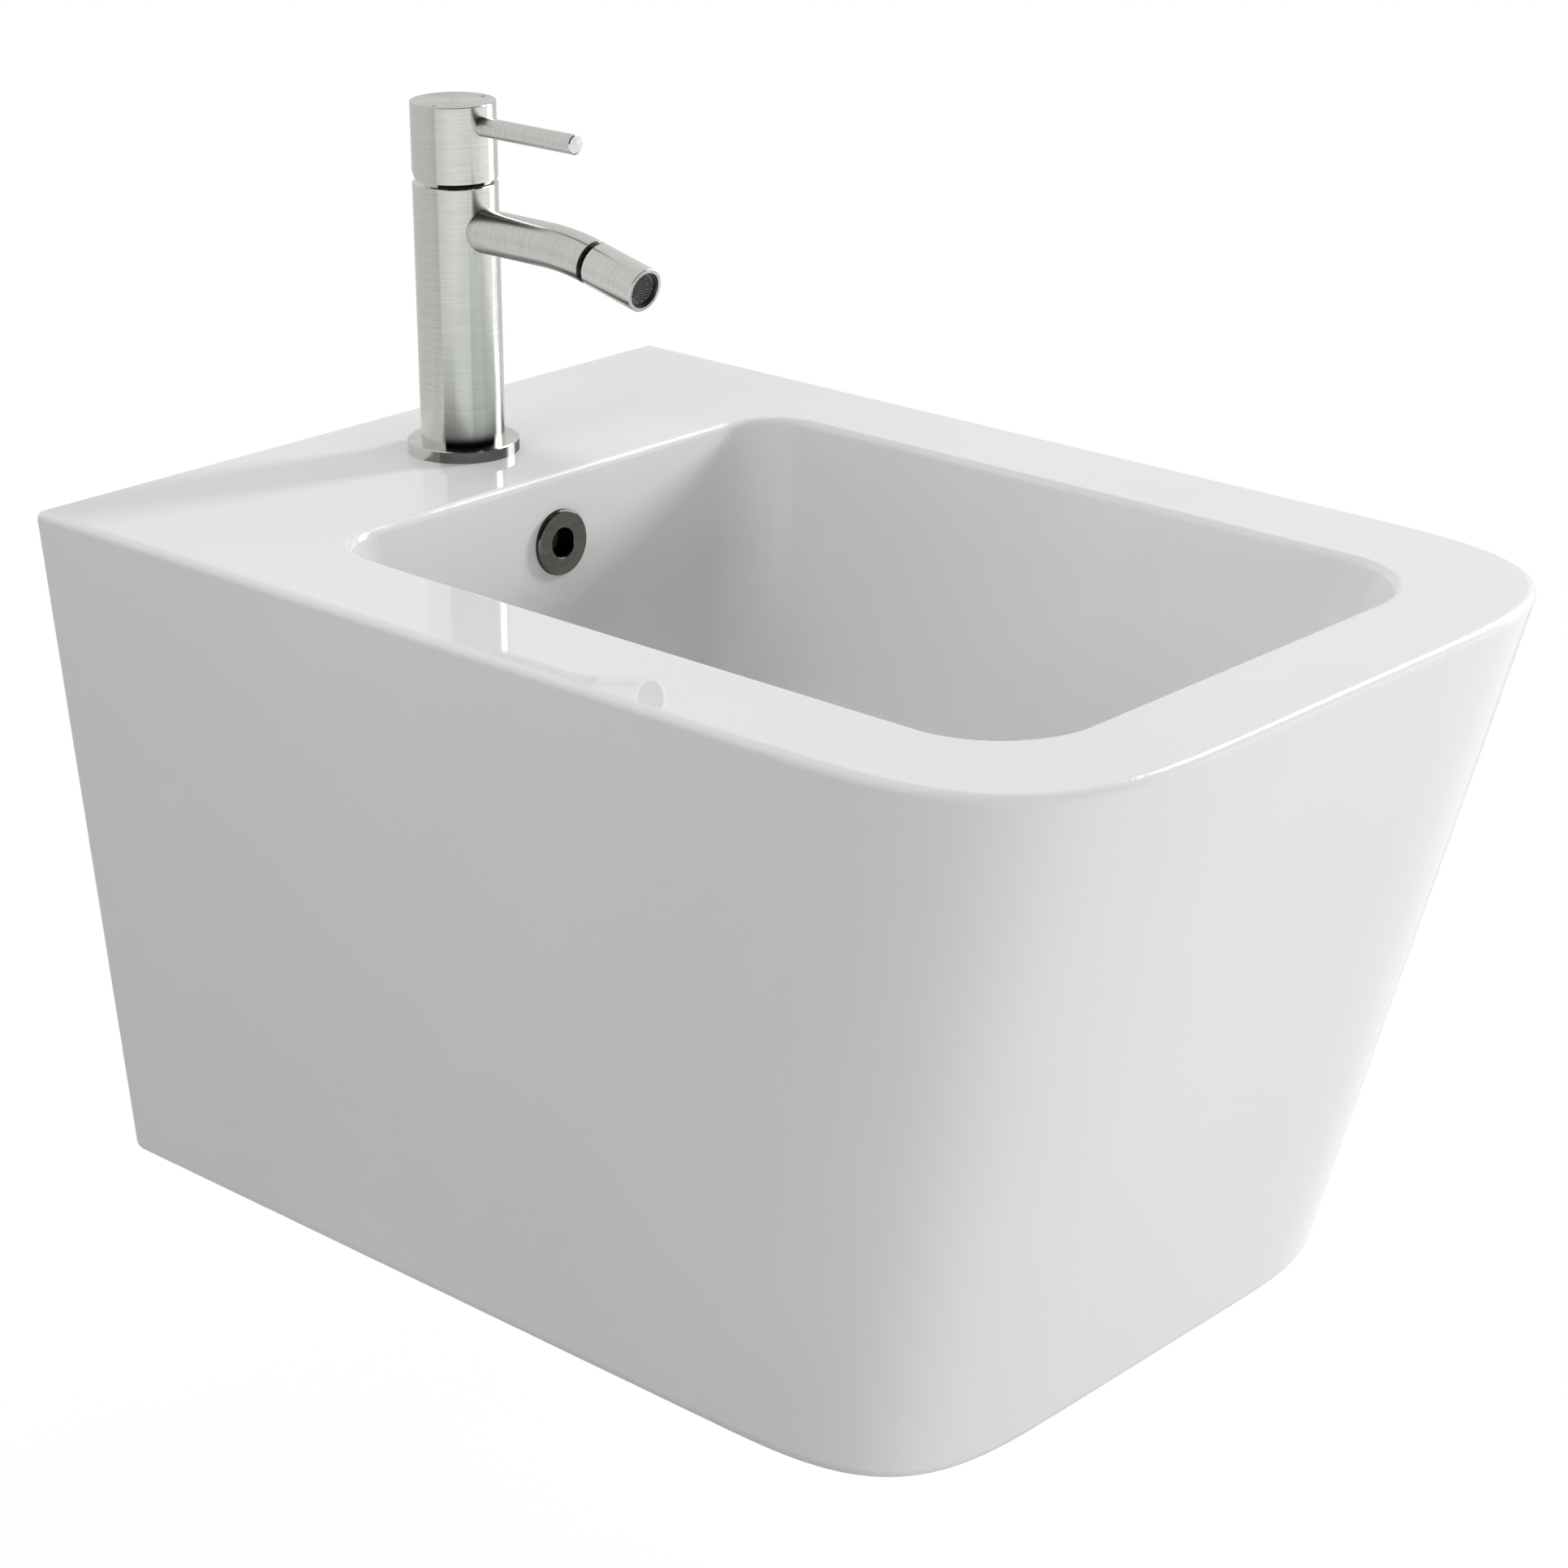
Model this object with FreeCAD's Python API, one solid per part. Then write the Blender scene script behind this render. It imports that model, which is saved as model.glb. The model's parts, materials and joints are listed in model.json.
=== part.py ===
import FreeCAD, Part
import math
import os

os.makedirs("parts", exist_ok=True)
V = FreeCAD.Vector

# The frame: the wall is the plane Y = 0, the front is -Y, up is +Z.
# The origin lies on the wall, midway between the two wall fixings. Sizes in mm.

# Basin, outside; a corner size is the length of side over which the corner bends
WIDTH = 360.0
DEPTH = 519.0
HEIGHT = 301.5
FIXING_DROP = 95.0
FIXING_PITCH = 180.0
SIDE_TAPER = 29.0
FRONT_TAPER = 77.5
CORNER_TOP = 119.0
CORNER_FOOT = 94.0
RIM_EDGE = 3.3
FOOT_EDGE = 7.0
BACK_EDGE = 2.8

# Basin, walls and hollows
WALL = 10.0
DECK = 12.0
BACK_WALL = 16.0
INNER_EDGE = 8.0
BACK_CUT_WIDTH = 124.0
BACK_CUT_TOP = 45.0
ACCESS_WIDTH = 200.0
ACCESS_DEPTH = 300.0
CUT_CORNER = 14.0

# Bowl; a lean is how far a wall comes in for each unit of depth
RIM_WIDTH = 50.0
RIM_FRONT = 48.0
LEDGE = 120.0
BOWL_DEPTH = 139.0
SIDE_LEAN = 0.16
FRONT_LEAN = 0.29
BACK_LEAN = 0.033
BOWL_CORNER_BACK = 28.0
BOWL_CORNER_FRONT = 42.0
BOWL_CORNER_GROW = 6.0
FLOOR_EDGE = 26.0
SUMP = 6.0
SUMP_R = 62.0
DRAIN_FROM_LEDGE = 132.0
BOSS_T = 28.0
BOSS_WALL = 18.0

# Overflow
OVERFLOW_DROP = 29.7
OVERFLOW_R = 14.2
OVERFLOW_HOLE_R = 6.4
OVERFLOW_T = 2.2
OVERFLOW_EDGE = 1.2
OVERFLOW_LAND = 3.0
OVERFLOW_SPIGOT_WALL = 1.4
DUCT_WIDTH = 30.0
DUCT_GAP = 12.0
DUCT_WALL = 7.0
DUCT_BEND_R = 24.0

# Wall fixings, M12
STUD_BORE_R = 6.6
SLEEVE_WALL = 3.2
SLEEVE_FLANGE = 5.0
SLEEVE_FLANGE_T = 3.0
SLEEVE_SHORT = 0.5
WASHER_T = 2.5
NUT_BORE_R = 6.2
STUD_NUT_T = 10.0
STUD_NUT_AF = 19.0

# Tap column, heights above the rim
TAP_FROM_WALL = 63.3
TAP_D = 36.0
TAP_TOP = 115.8
TAP_HOLE_R = 17.5
BASE_D = 47.8
BASE_T = 5.1
BASE_EDGE = 0.4
BASE_SEAL_W = 3.4
BASE_SEAL_T = 1.8
BASE_SEAL_IN = 2.5
SPIGOT_R = 15.0
SPIGOT_DROP = 3.0
INLET_R = 5.0
INLET_X = 7.5
INLET_BACK = 4.0
INLET_DEPTH = 15.0
TAP_STUD_R = 4.0
TAP_STUD_FRONT = 9.5
TAP_STUD_IN = 14.0
STUD_SPARE = 22.0
CLAMP_EDGE = 5.5
RUBBER_T = 3.0
PLATE_T = 2.5
CLAMP_NUT_T = 6.5
CLAMP_NUT_AF = 13.0

# Spout and swivelling nozzle
SPOUT_D = 18.5
SPOUT_HEIGHT = 97.3
SPOUT_STRAIGHT = 53.5
SPOUT_BEND_R = 117.0
SPOUT_TILT = 13.2
SPOUT_BORE_R = 4.4
SOCKET_R = 6.5
SOCKET_IN = 10.0
GROOVE = 2.6
NOZZLE_LENGTH = 27.8
BALL_R = 6.0
BALL_BEHIND = 6.5
BALL_BORE_R = 2.2
BALL_SPIGOT_R = 6.3
BALL_SPIGOT = 8.0
NECK_R = 3.6
NECK_SWING = 2.2
LINER_T = 1.1
LINER_HALF = 4.0
LINER_SPLIT = 1.0
RETAINER_WALL = 1.1
AERATOR_FROM_BALL = 10.0
AERATOR_WALL = 0.9
AERATOR_SEAL_T = 1.5
AERATOR_IN = 0.6
SCREEN_R = 6.6
SCREEN_T = 1.2
SCREEN_IN = 1.0
SCREEN_PITCH = 1.15
SCREEN_BAR = 0.35
SPRAY_PLATE_T = 2.0
SPRAY_PLATE_GAP = 4.0
SPRAY_HOLE_R = 0.8
SPRAY_CIRCLE_R = 3.6

# Cartridge
CHAMBER_DEPTH = 10.5
SHOULDER_UP = 5.0
NECK_UP = 3.0
CARTRIDGE_R = 12.5
CARTRIDGE_NECK_R = 10.5
CARTRIDGE_BORE_R = 8.6
LOCK_NUT_W = 3.6
LOCK_NUT_IN = 0.4
LOCK_SLOT = 2.4
LOCK_SLOT_DEPTH = 1.6
PLATFORM_T = 1.5
PORT_R = 1.8
PORT_X = 4.5
PORT_BACK = 2.5
PORT_FRONT = 5.0
PORT_SEAL_R = 3.3
PORT_SEAL_T = 0.9
DISC_T = 2.0
DISC_FILM = 0.05
MOVING_DISC_R = 6.0
CHANNEL_WIDTH = 4.4
CHANNEL_LENGTH = 7.2
CHANNEL_DEPTH = 1.0
PIVOT_UP = 11.0
PIVOT_PIN_R = 1.25
LIFT_MAX = 20.0
BALL_END_R = 2.0
BALL_END_DROP = 13.0
CARRIER_OVER_BALL = 1.5
GUIDE_OVER_PIN = 3.5
STEM_SIDE = 5.0
STEM_HEAD_SIDE = 7.0
STEM_HEAD_OUT = 2.5
STEM_HEAD_COVER = 6.0

# Handle
SHADOW_GAP = 2.0
HANDLE_HEIGHT = 32.0
HANDLE_WALL = 2.5
HANDLE_TOP_T = 14.0
HANDLE_EDGE = 0.4
SKIRT_INSET = 1.6
REAR_CUT_TURN = 26.5
REAR_CUT_UP = 1.0
LEVER_D = 8.1
LEVER_REACH = 72.1
LEVER_BELOW_TOP = 8.8
LEVER_STUB_R = 2.6
LEVER_STUB_IN = 9.5
LEVER_EDGE = 0.4
SCREW_R = 2.5
SCREW_LENGTH = 6.0
SCREW_KEY_AF = 2.5
SCREW_KEY_DEPTH = 2.0
MARK_R = 0.85
MARK_T = 0.5
MARK_X = 13.8
MARK_FRONT = 3.6

# Waste
WASTE_R = 20.9
WASTE_WALL = 2.4
WASTE_FLANGE_R = 32.0
WASTE_FLANGE_T = 3.0
WASTE_FLANGE_EDGE = 1.0
WASTE_SEAL_T = 1.5
WASTE_WINDOW = 15.0
WASTE_STEP_DROP = 40.0
WASTE_STEP = 0.9
WASTE_LENGTH = 66.0
WASTE_LIP_T = 3.0
CONE_T = 8.0
CONE_UP = 4.0
CONE_W = 11.0
SLIP_T = 2.0
SLIP_W = 10.0
BACK_NUT_T = 12.0
BACK_NUT_W = 7.0
TAIL_R = 16.0
TAIL_WALL = 2.0
TAIL_NECK = 0.8
TAIL_COLLAR_T = 3.0
TAIL_LENGTH = 58.0
SPIDER_T = 6.0
SPIDER_RIM = 1.9
SPIDER_ARM = 3.0
HUB_WALL = 2.2
HUB_UP = 10.0
HUB_DOWN = 4.0
PLUG_R = 29.0
PLUG_EDGE_T = 3.2
PLUG_CROWN = 2.2
PLUG_TRAVEL = 8.0
PLUG_ROD_R = 3.5
PLUG_TENON_R = 2.5
PLUG_TENON = 2.5
PLUG_SEAL_T = 2.0
PLUG_SEAL_W = 5.0

# Clearances; OVER is how far a cutting body runs past the face that it opens
FIT = 0.1
RUN = 0.3
PASS = 1.6
OVER = 1.0


def cyl(r, z0, z1, x=0.0, y=0.0):
    return Part.makeCylinder(r, z1 - z0, V(x, y, z0))


def ring(r0, r1, z0, z1, x=0.0, y=0.0):
    return cyl(r1, z0, z1, x, y).cut(cyl(r0, z0 - OVER, z1 + OVER, x, y))


def rod_y(r, y0, y1, x, z):
    return Part.makeCylinder(r, y1 - y0, V(x, y0, z), V(0, 1, 0))


def ring_y(r0, r1, y0, y1, x, z):
    return rod_y(r1, y0, y1, x, z).cut(rod_y(r0, y0 - OVER, y1 + OVER, x, z))


def rod_x(r, half, y, z):
    return Part.makeCylinder(r, 2.0 * half, V(-half, y, z), V(1, 0, 0))


def block(x0, x1, y0, y1, z0, z1):
    return Part.makeBox(x1 - x0, y1 - y0, z1 - z0, V(x0, y0, z0))


def slab(half_x, half_y, y, z0, z1):
    return block(-half_x, half_x, y - half_y, y + half_y, z0, z1)


def line(a, b):
    return Part.LineSegment(a, b).toShape()


def turned(points, y=0.0):
    """Solid of revolution about the upright axis at (0, y) from radius and height pairs."""
    wire = Part.makePolygon([V(r, 0, z) for r, z in points + points[:1]])
    solid = Part.Face(wire).revolve(V(0, 0, 0), V(0, 0, 1), 360)
    solid.translate(V(0, y, 0))
    return solid


def hexagon(across, z0, z1, x=0.0, y=0.0):
    r = across / math.sqrt(3.0)
    turns = [math.radians(60.0 * i) for i in range(7)]
    wire = Part.makePolygon([V(x + r * math.cos(a), y + r * math.sin(a), z0) for a in turns])
    return Part.Face(wire).extrude(V(0, 0, z1 - z0))


def edges_at(shape, z, test=None):
    found = []
    for edge in shape.Edges:
        ends = [edge.valueAt(edge.FirstParameter), edge.valueAt(edge.LastParameter)]
        middle = edge.valueAt((edge.FirstParameter + edge.LastParameter) / 2.0)
        if all(abs(p.z - z) < 1e-4 for p in ends + [middle]):
            if test is None or test(middle):
                found.append(edge)
    return found


def upright_edges(shape):
    return [e for e in shape.Edges if abs(e.tangentAt(e.FirstParameter).z) > 0.9999]


def save(name, shape):
    shape.exportStep("parts/%s.step" % name)
    print("%-20s %10.1f mm3, %d solid(s)" % (name, shape.Volume, len(shape.Solids)))


# Heights and places that several pieces share
RIM_Z = FIXING_DROP
DECK_Z = RIM_Z - DECK
FOOT_Z = RIM_Z - HEIGHT
FLOOR_Z = RIM_Z - BOWL_DEPTH
SEAT_Z = FLOOR_Z - SUMP
BOSS_Z = SEAT_Z - BOSS_T
TAP_Y = -TAP_FROM_WALL
TAP_R = TAP_D / 2.0
DRAIN_Y = -LEDGE - DRAIN_FROM_LEDGE


def above(h):
    return RIM_Z + h


# Ceramic basin
def soft_corner(start, corner, end):
    """Quartic bend that leaves both sides without a jump in curvature."""
    curve = Part.BezierCurve()
    curve.setPoles([start, (start + corner) * 0.5, corner, (end + corner) * 0.5, end])
    return curve.toShape()


def skirt_outline(z, inset):
    """Outline of the tapered skirt at height z; its sides run on behind the wall plane."""
    t = (RIM_Z - z) / HEIGHT
    half = WIDTH / 2.0 - SIDE_TAPER * t - inset
    front = DEPTH - FRONT_TAPER * t - inset
    bend = CORNER_TOP + (CORNER_FOOT - CORNER_TOP) * t - inset
    left = [V(-half, BACK_WALL, z), V(-half, -front + bend, z)]
    nose = [V(-half + bend, -front, z), V(half - bend, -front, z)]
    right = [V(half, -front + bend, z), V(half, BACK_WALL, z)]
    return Part.Wire([
        line(left[0], left[1]), soft_corner(left[1], V(-half, -front, z), nose[0]),
        line(nose[0], nose[1]), soft_corner(nose[1], V(half, -front, z), right[0]),
        line(right[0], right[1]), line(right[1], left[0]),
    ])


def skirt(inset, z_low, z_high, back, foot_edge, rim_edge):
    """Tapered block under the outline, foot and rim rounded, cut flat at the distance back from the wall."""
    solid = Part.makeLoft([skirt_outline(z_low, inset), skirt_outline(z_high, inset)], True, True)
    solid = solid.makeFillet(foot_edge, edges_at(solid, z_low, lambda p: p.y < 0.0))
    if rim_edge:
        solid = solid.makeFillet(rim_edge, edges_at(solid, z_high, lambda p: p.y < 0.0))
    return solid.cut(block(-WIDTH, WIDTH, -back, 2.0 * BACK_WALL, z_low - OVER, z_high + OVER))


def bowl_outline(z, half, back, front, r_back, r_front):
    """Rectangle with round corners; back and front are distances from the wall."""
    c = 1.0 - math.sqrt(0.5)
    edges = []
    corners = [(-1, -front, 1, r_front), (1, -front, 1, r_front),
               (1, -back, -1, r_back), (-1, -back, -1, r_back)]
    starts = []
    ends = []
    for i, (sx, y, sy, r) in enumerate(corners):
        on_side = V(sx * half, y + sy * r, z)
        on_end = V(sx * (half - r), y, z)
        middle = V(sx * (half - c * r), y + sy * c * r, z)
        a, b = (on_side, on_end) if i % 2 == 0 else (on_end, on_side)
        edges.append(Part.Arc(a, middle, b).toShape())
        starts.append(a)
        ends.append(b)
    for i in range(4):
        edges.append(line(ends[i], starts[(i + 1) % 4]))
    return Part.Wire(Part.sortEdges(edges)[0])


def bowl(grow):
    """Inside of the bowl, or with grow the outside of its wall."""
    half = WIDTH / 2.0 - RIM_WIDTH + grow
    back = LEDGE - grow
    front = DEPTH - RIM_FRONT + grow
    r_back = BOWL_CORNER_BACK + grow
    r_front = BOWL_CORNER_FRONT + grow
    d = BOWL_DEPTH
    top = bowl_outline(RIM_Z, half, back, front, r_back, r_front)
    low = bowl_outline(FLOOR_Z - grow, half - SIDE_LEAN * d, back + BACK_LEAN * d, front - FRONT_LEAN * d,
                       r_back + BOWL_CORNER_GROW, r_front + BOWL_CORNER_GROW)
    solid = Part.makeLoft([low, top], True, True)
    return solid.makeFillet(FLOOR_EDGE + grow, edges_at(solid, FLOOR_Z - grow))


outside = skirt(0.0, FOOT_Z, RIM_Z, 0.0, FOOT_EDGE, RIM_EDGE)
on_wall = [e for e in outside.Edges if all(abs(v.Point.y) < 1e-4 for v in e.Vertexes)]
outside = outside.makeFillet(BACK_EDGE, on_wall)

# Overflow duct: down behind the bowl's back wall, then forward under the floor to the drain
duct_y = -LEDGE + WALL - OVER + DUCT_GAP / 2.0
duct_z = SEAT_Z - BOSS_T / 2.0 - OVER
duct_x = DUCT_WIDTH / 2.0 + DUCT_WALL
duct_back = duct_y + DUCT_GAP / 2.0 + DUCT_WALL
duct_high = block(-duct_x, duct_x, duct_y - DUCT_GAP / 2.0, duct_back, BOSS_Z, RIM_Z - DECK / 2.0)
duct_low = block(-duct_x, duct_x, DRAIN_Y, duct_back, BOSS_Z, FLOOR_Z - WALL / 2.0)
duct_fill = block(-duct_x, duct_x, duct_y - 2.0 * DUCT_BEND_R, duct_y, BOSS_Z, FLOOR_Z + FLOOR_EDGE)
duct_outer = duct_high.fuse([duct_low, duct_fill]).removeSplitter()
duct_rear = [e for e in upright_edges(duct_outer) if abs(e.valueAt(e.FirstParameter).y - duct_back) < 1e-4]
duct_outer = duct_outer.makeFillet(DUCT_WALL, duct_rear)

duct_top = DECK_Z - 2.0 * OVER
bend_share = DUCT_BEND_R * (1.0 - math.sqrt(0.5))
bend_high = V(0, duct_y, duct_z + DUCT_BEND_R)
bend_mid = V(0, duct_y - bend_share, duct_z + bend_share)
bend_low = V(0, duct_y - DUCT_BEND_R, duct_z)
duct_path = Part.Wire([
    line(V(0, duct_y, duct_top), bend_high),
    Part.Arc(bend_high, bend_mid, bend_low).toShape(),
    line(bend_low, V(0, DRAIN_Y + WASTE_R, duct_z)),
])
half_x = DUCT_WIDTH / 2.0
half_y = DUCT_GAP / 2.0
duct_corners = [(-half_x, -half_y), (half_x, -half_y), (half_x, half_y), (-half_x, half_y)]
duct_ends = [V(x, duct_y + y, duct_top) for x, y in duct_corners]
duct_section = Part.makePolygon(duct_ends + duct_ends[:1])
duct_inner = duct_path.makePipeShell([duct_section], True, False)

# The overflow hole stands square to the bowl's back wall
overflow_place = FreeCAD.Placement(
    V(0, -LEDGE - BACK_LEAN * OVERFLOW_DROP, RIM_Z - OVERFLOW_DROP),
    FreeCAD.Rotation(V(1, 0, 0), 90.0 - math.degrees(math.atan(BACK_LEAN))))
overflow_bore_r = OVERFLOW_R - OVERFLOW_LAND
overflow_bore = cyl(overflow_bore_r, -WALL - 2.0 * OVER, 2.0 * OVER)
overflow_bore.Placement = overflow_place

# Cast in two pieces that meet in the plane under the deck: the rim with its bowl, and the skirt
boss = cyl(WASTE_R + PASS + BOSS_WALL, BOSS_Z, FLOOR_Z - WALL / 2.0, 0.0, DRAIN_Y)
sump = Part.makeCone(WASTE_FLANGE_R + OVER, SUMP_R, SUMP, V(0, DRAIN_Y, SEAT_Z))
drain = cyl(WASTE_R + PASS, BOSS_Z - OVER, FLOOR_Z, 0.0, DRAIN_Y)
tap_hole = cyl(TAP_HOLE_R, DECK_Z - OVER, RIM_Z + OVER, 0.0, TAP_Y)
lower_half = block(-WIDTH, WIDTH, -2.0 * DEPTH, DEPTH, FOOT_Z - OVER, DECK_Z)

deck = outside.cut(lower_half)
hung = bowl(WALL).cut(block(-WIDTH, WIDTH, -2.0 * DEPTH, DEPTH, DECK_Z + DECK / 2.0, RIM_Z + OVER))
upper = deck.fuse([hung, boss, duct_outer]).removeSplitter()
upper = upper.cut(bowl(0.0)).cut([sump, drain, duct_inner, overflow_bore, tap_hole])
lip_x = WIDTH / 2.0 - RIM_WIDTH + OVER
lip_y = DEPTH - RIM_FRONT + OVER
lip = edges_at(upper, RIM_Z, lambda p: abs(p.x) < lip_x and -lip_y < p.y < -LEDGE + OVER)
upper = upper.makeFillet(RIM_EDGE, lip)

back_cut = slab(BACK_CUT_WIDTH / 2.0, BACK_WALL + OVER, 0.0, FOOT_Z - OVER, RIM_Z - BACK_CUT_TOP)
cut_top = [e for e in edges_at(back_cut, RIM_Z - BACK_CUT_TOP) if abs(e.tangentAt(e.FirstParameter).y) > 0.99]
back_cut = back_cut.makeFillet(CUT_CORNER, cut_top)
access = block(-ACCESS_WIDTH / 2.0, ACCESS_WIDTH / 2.0, -ACCESS_DEPTH, -BACK_WALL,
               FOOT_Z - OVER, FOOT_Z + WALL + OVER)
access = access.makeFillet(CUT_CORNER, upright_edges(access))
fixing_r = STUD_BORE_R + SLEEVE_WALL + FIT
fixings = [rod_y(fixing_r, -BACK_WALL - OVER, OVER, s * FIXING_PITCH / 2.0, 0.0) for s in (-1, 1)]
hollow = skirt(WALL, FOOT_Z + WALL, DECK_Z + OVER, BACK_WALL, INNER_EDGE, 0.0)
lower = outside.common(lower_half).cut(hollow).cut([back_cut, access] + fixings)
save("ceramic_body", Part.makeCompound([upper, lower]))

# Wall fixings: flanged sleeves, washers and nuts on the inside of the back wall
sleeve_r = STUD_BORE_R + SLEEVE_WALL
flange_y = -BACK_WALL - SLEEVE_FLANGE_T
washer_y = flange_y - WASHER_T
nut_y = washer_y - STUD_NUT_T
sleeves = []
washers = []
nuts = []
for s in (-1, 1):
    x = s * FIXING_PITCH / 2.0
    tube = ring_y(STUD_BORE_R, sleeve_r, -BACK_WALL, -SLEEVE_SHORT, x, 0.0)
    collar = ring_y(STUD_BORE_R, sleeve_r + SLEEVE_FLANGE, flange_y, -BACK_WALL, x, 0.0)
    sleeves.append(tube.fuse(collar).removeSplitter())
    washers.append(ring_y(STUD_BORE_R, sleeve_r + SLEEVE_FLANGE, washer_y, flange_y, x, 0.0))
    nut = hexagon(STUD_NUT_AF, nut_y, washer_y)
    nut.Placement = FreeCAD.Placement(V(x, 0, 0), FreeCAD.Rotation(V(1, 0, 0), -90.0))
    nuts.append(nut.cut(rod_y(NUT_BORE_R, nut_y - OVER, washer_y + OVER, x, 0.0)))
save("stud_sleeves", Part.makeCompound(sleeves))
save("stud_washers", Part.makeCompound(washers))
save("stud_nuts", Part.makeCompound(nuts))

# Overflow ring with its spigot, and the plastic sleeve that grips the hole
spigot_in = OVERFLOW_HOLE_R + OVERFLOW_EDGE
spigot_out = spigot_in + OVERFLOW_SPIGOT_WALL
ring_middle = (OVERFLOW_HOLE_R + OVERFLOW_R) / 2.0
overflow = ring(OVERFLOW_HOLE_R, OVERFLOW_R, 0.0, OVERFLOW_T)
overflow = overflow.makeFillet(
    OVERFLOW_EDGE, edges_at(overflow, OVERFLOW_T, lambda p: math.hypot(p.x, p.y) > ring_middle))
overflow = overflow.makeFillet(
    OVERFLOW_EDGE / 2.0, edges_at(overflow, OVERFLOW_T, lambda p: math.hypot(p.x, p.y) < ring_middle))
overflow = overflow.fuse(ring(spigot_in, spigot_out, -WALL + OVER, 0.0)).removeSplitter()
overflow.Placement = overflow_place
save("overflow_ring", overflow)
grip = ring(spigot_out + FIT, overflow_bore_r - FIT, -WALL + OVER, -FIT)
grip.Placement = overflow_place
save("overflow_sleeve", grip)

# Tap column: spigot below, inlets and their ways up, chamber for the cartridge, socket for the spout
spout_line = above(SPOUT_HEIGHT)
socket_y = TAP_Y - TAP_R + SOCKET_IN
chamber_z = above(TAP_TOP - CHAMBER_DEPTH)
shoulder_z = chamber_z + SHOULDER_UP
inlet_top = above(INLET_DEPTH - SPIGOT_DROP)
spigot_low = above(-SPIGOT_DROP)
stud_y = TAP_Y - TAP_STUD_FRONT
lock_r = CARTRIDGE_NECK_R + LOCK_NUT_W

column = cyl(TAP_R, above(BASE_T), above(TAP_TOP), 0.0, TAP_Y)
column = column.makeChamfer(RUN, edges_at(column, above(TAP_TOP)))
column = column.fuse(cyl(SPIGOT_R, spigot_low, above(BASE_T), 0.0, TAP_Y)).removeSplitter()
cuts = [
    cyl(CARTRIDGE_R + FIT, chamber_z, above(TAP_TOP) + OVER, 0.0, TAP_Y),
    cyl(lock_r, shoulder_z, above(TAP_TOP) + OVER, 0.0, TAP_Y),
    rod_y(SOCKET_R + FIT / 2.0, TAP_Y - TAP_R - OVER, socket_y, 0.0, spout_line),
    rod_y(SPOUT_BORE_R, socket_y - OVER, TAP_Y - PORT_FRONT + PORT_R, 0.0, spout_line),
    cyl(PORT_R, spout_line, chamber_z + OVER, 0.0, TAP_Y - PORT_FRONT),
    cyl(TAP_STUD_R + FIT / 2.0, spigot_low - OVER, above(BASE_T + TAP_STUD_IN + OVER), 0.0, stud_y),
]
for s in (-1, 1):
    cuts.append(cyl(INLET_R, spigot_low - OVER, inlet_top, s * INLET_X, TAP_Y + INLET_BACK))
    low = V(s * INLET_X, TAP_Y + INLET_BACK, inlet_top - OVER)
    high = V(s * PORT_X, TAP_Y + PORT_BACK, chamber_z + OVER / 2.0)
    cuts.append(Part.makeCylinder(PORT_R, (high - low).Length, low, high - low))
save("tap_body", column.cut(cuts))

seal_out = BASE_D / 2.0 - BASE_SEAL_IN
seal_in = seal_out - BASE_SEAL_W
base = ring(SPIGOT_R + FIT, BASE_D / 2.0, above(0.0), above(BASE_T), 0.0, TAP_Y)
base_edge = edges_at(base, above(BASE_T), lambda p: math.hypot(p.x, p.y - TAP_Y) > TAP_R)
base = base.makeChamfer(BASE_EDGE, base_edge)
base = base.cut(ring(seal_in - FIT, seal_out + FIT, above(-OVER), above(BASE_SEAL_T), 0.0, TAP_Y))
save("tap_base_ring", base)
save("tap_base_seal", ring(seal_in, seal_out, above(0.0), above(BASE_SEAL_T), 0.0, TAP_Y))

# Clamp under the deck: rubber and steel horseshoes on one stud, open at the back for the hoses
clamp_r = TAP_HOLE_R + CLAMP_EDGE
rubber_low = DECK_Z - RUBBER_T
plate_low = rubber_low - PLATE_T
clamp_nut_low = plate_low - CLAMP_NUT_T
slot_x = INLET_X + INLET_R + 2.0 * PASS
slot_y = TAP_Y + INLET_BACK - INLET_R - PASS


def horseshoe(r, z0, z1):
    slot = block(-slot_x, slot_x, slot_y, TAP_Y + r + OVER, z0 - OVER, z1 + OVER)
    hole = cyl(TAP_STUD_R + FIT, z0 - OVER, z1 + OVER, 0.0, stud_y)
    return cyl(r, z0, z1, 0.0, TAP_Y).cut([slot, hole])


save("tap_clamp_rubber", horseshoe(clamp_r, rubber_low, DECK_Z))
save("tap_clamp_plate", horseshoe(clamp_r - OVER, plate_low, rubber_low))
clamp_nut = hexagon(CLAMP_NUT_AF, clamp_nut_low, plate_low, 0.0, stud_y)
clamp_nut = clamp_nut.cut(cyl(TAP_STUD_R + FIT, clamp_nut_low - OVER, plate_low + OVER, 0.0, stud_y))
save("tap_clamp_nut", clamp_nut)
save("tap_stud", cyl(TAP_STUD_R, clamp_nut_low - STUD_SPARE, above(BASE_T + TAP_STUD_IN), 0.0, stud_y))

# Spout: a tube swept along a straight run and a shallow bend, saddled on the column
SPOUT_R = SPOUT_D / 2.0
tilt = math.radians(SPOUT_TILT)
bend_y = TAP_Y - SPOUT_STRAIGHT


def on_bend(angle):
    return V(0, bend_y - SPOUT_BEND_R * math.sin(angle), spout_line - SPOUT_BEND_R * (1.0 - math.cos(angle)))


spout_start = V(0, TAP_Y - TAP_R / 3.0, spout_line)
spout_end = on_bend(tilt)
spout_path = Part.Wire([
    line(spout_start, on_bend(0.0)),
    Part.Arc(on_bend(0.0), on_bend(tilt / 2.0), spout_end).toShape(),
])


def swept(r):
    circle = Part.Wire([Part.Circle(spout_start, V(0, -1, 0), r).toShape()])
    return spout_path.makePipeShell([circle], True, False)


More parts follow.
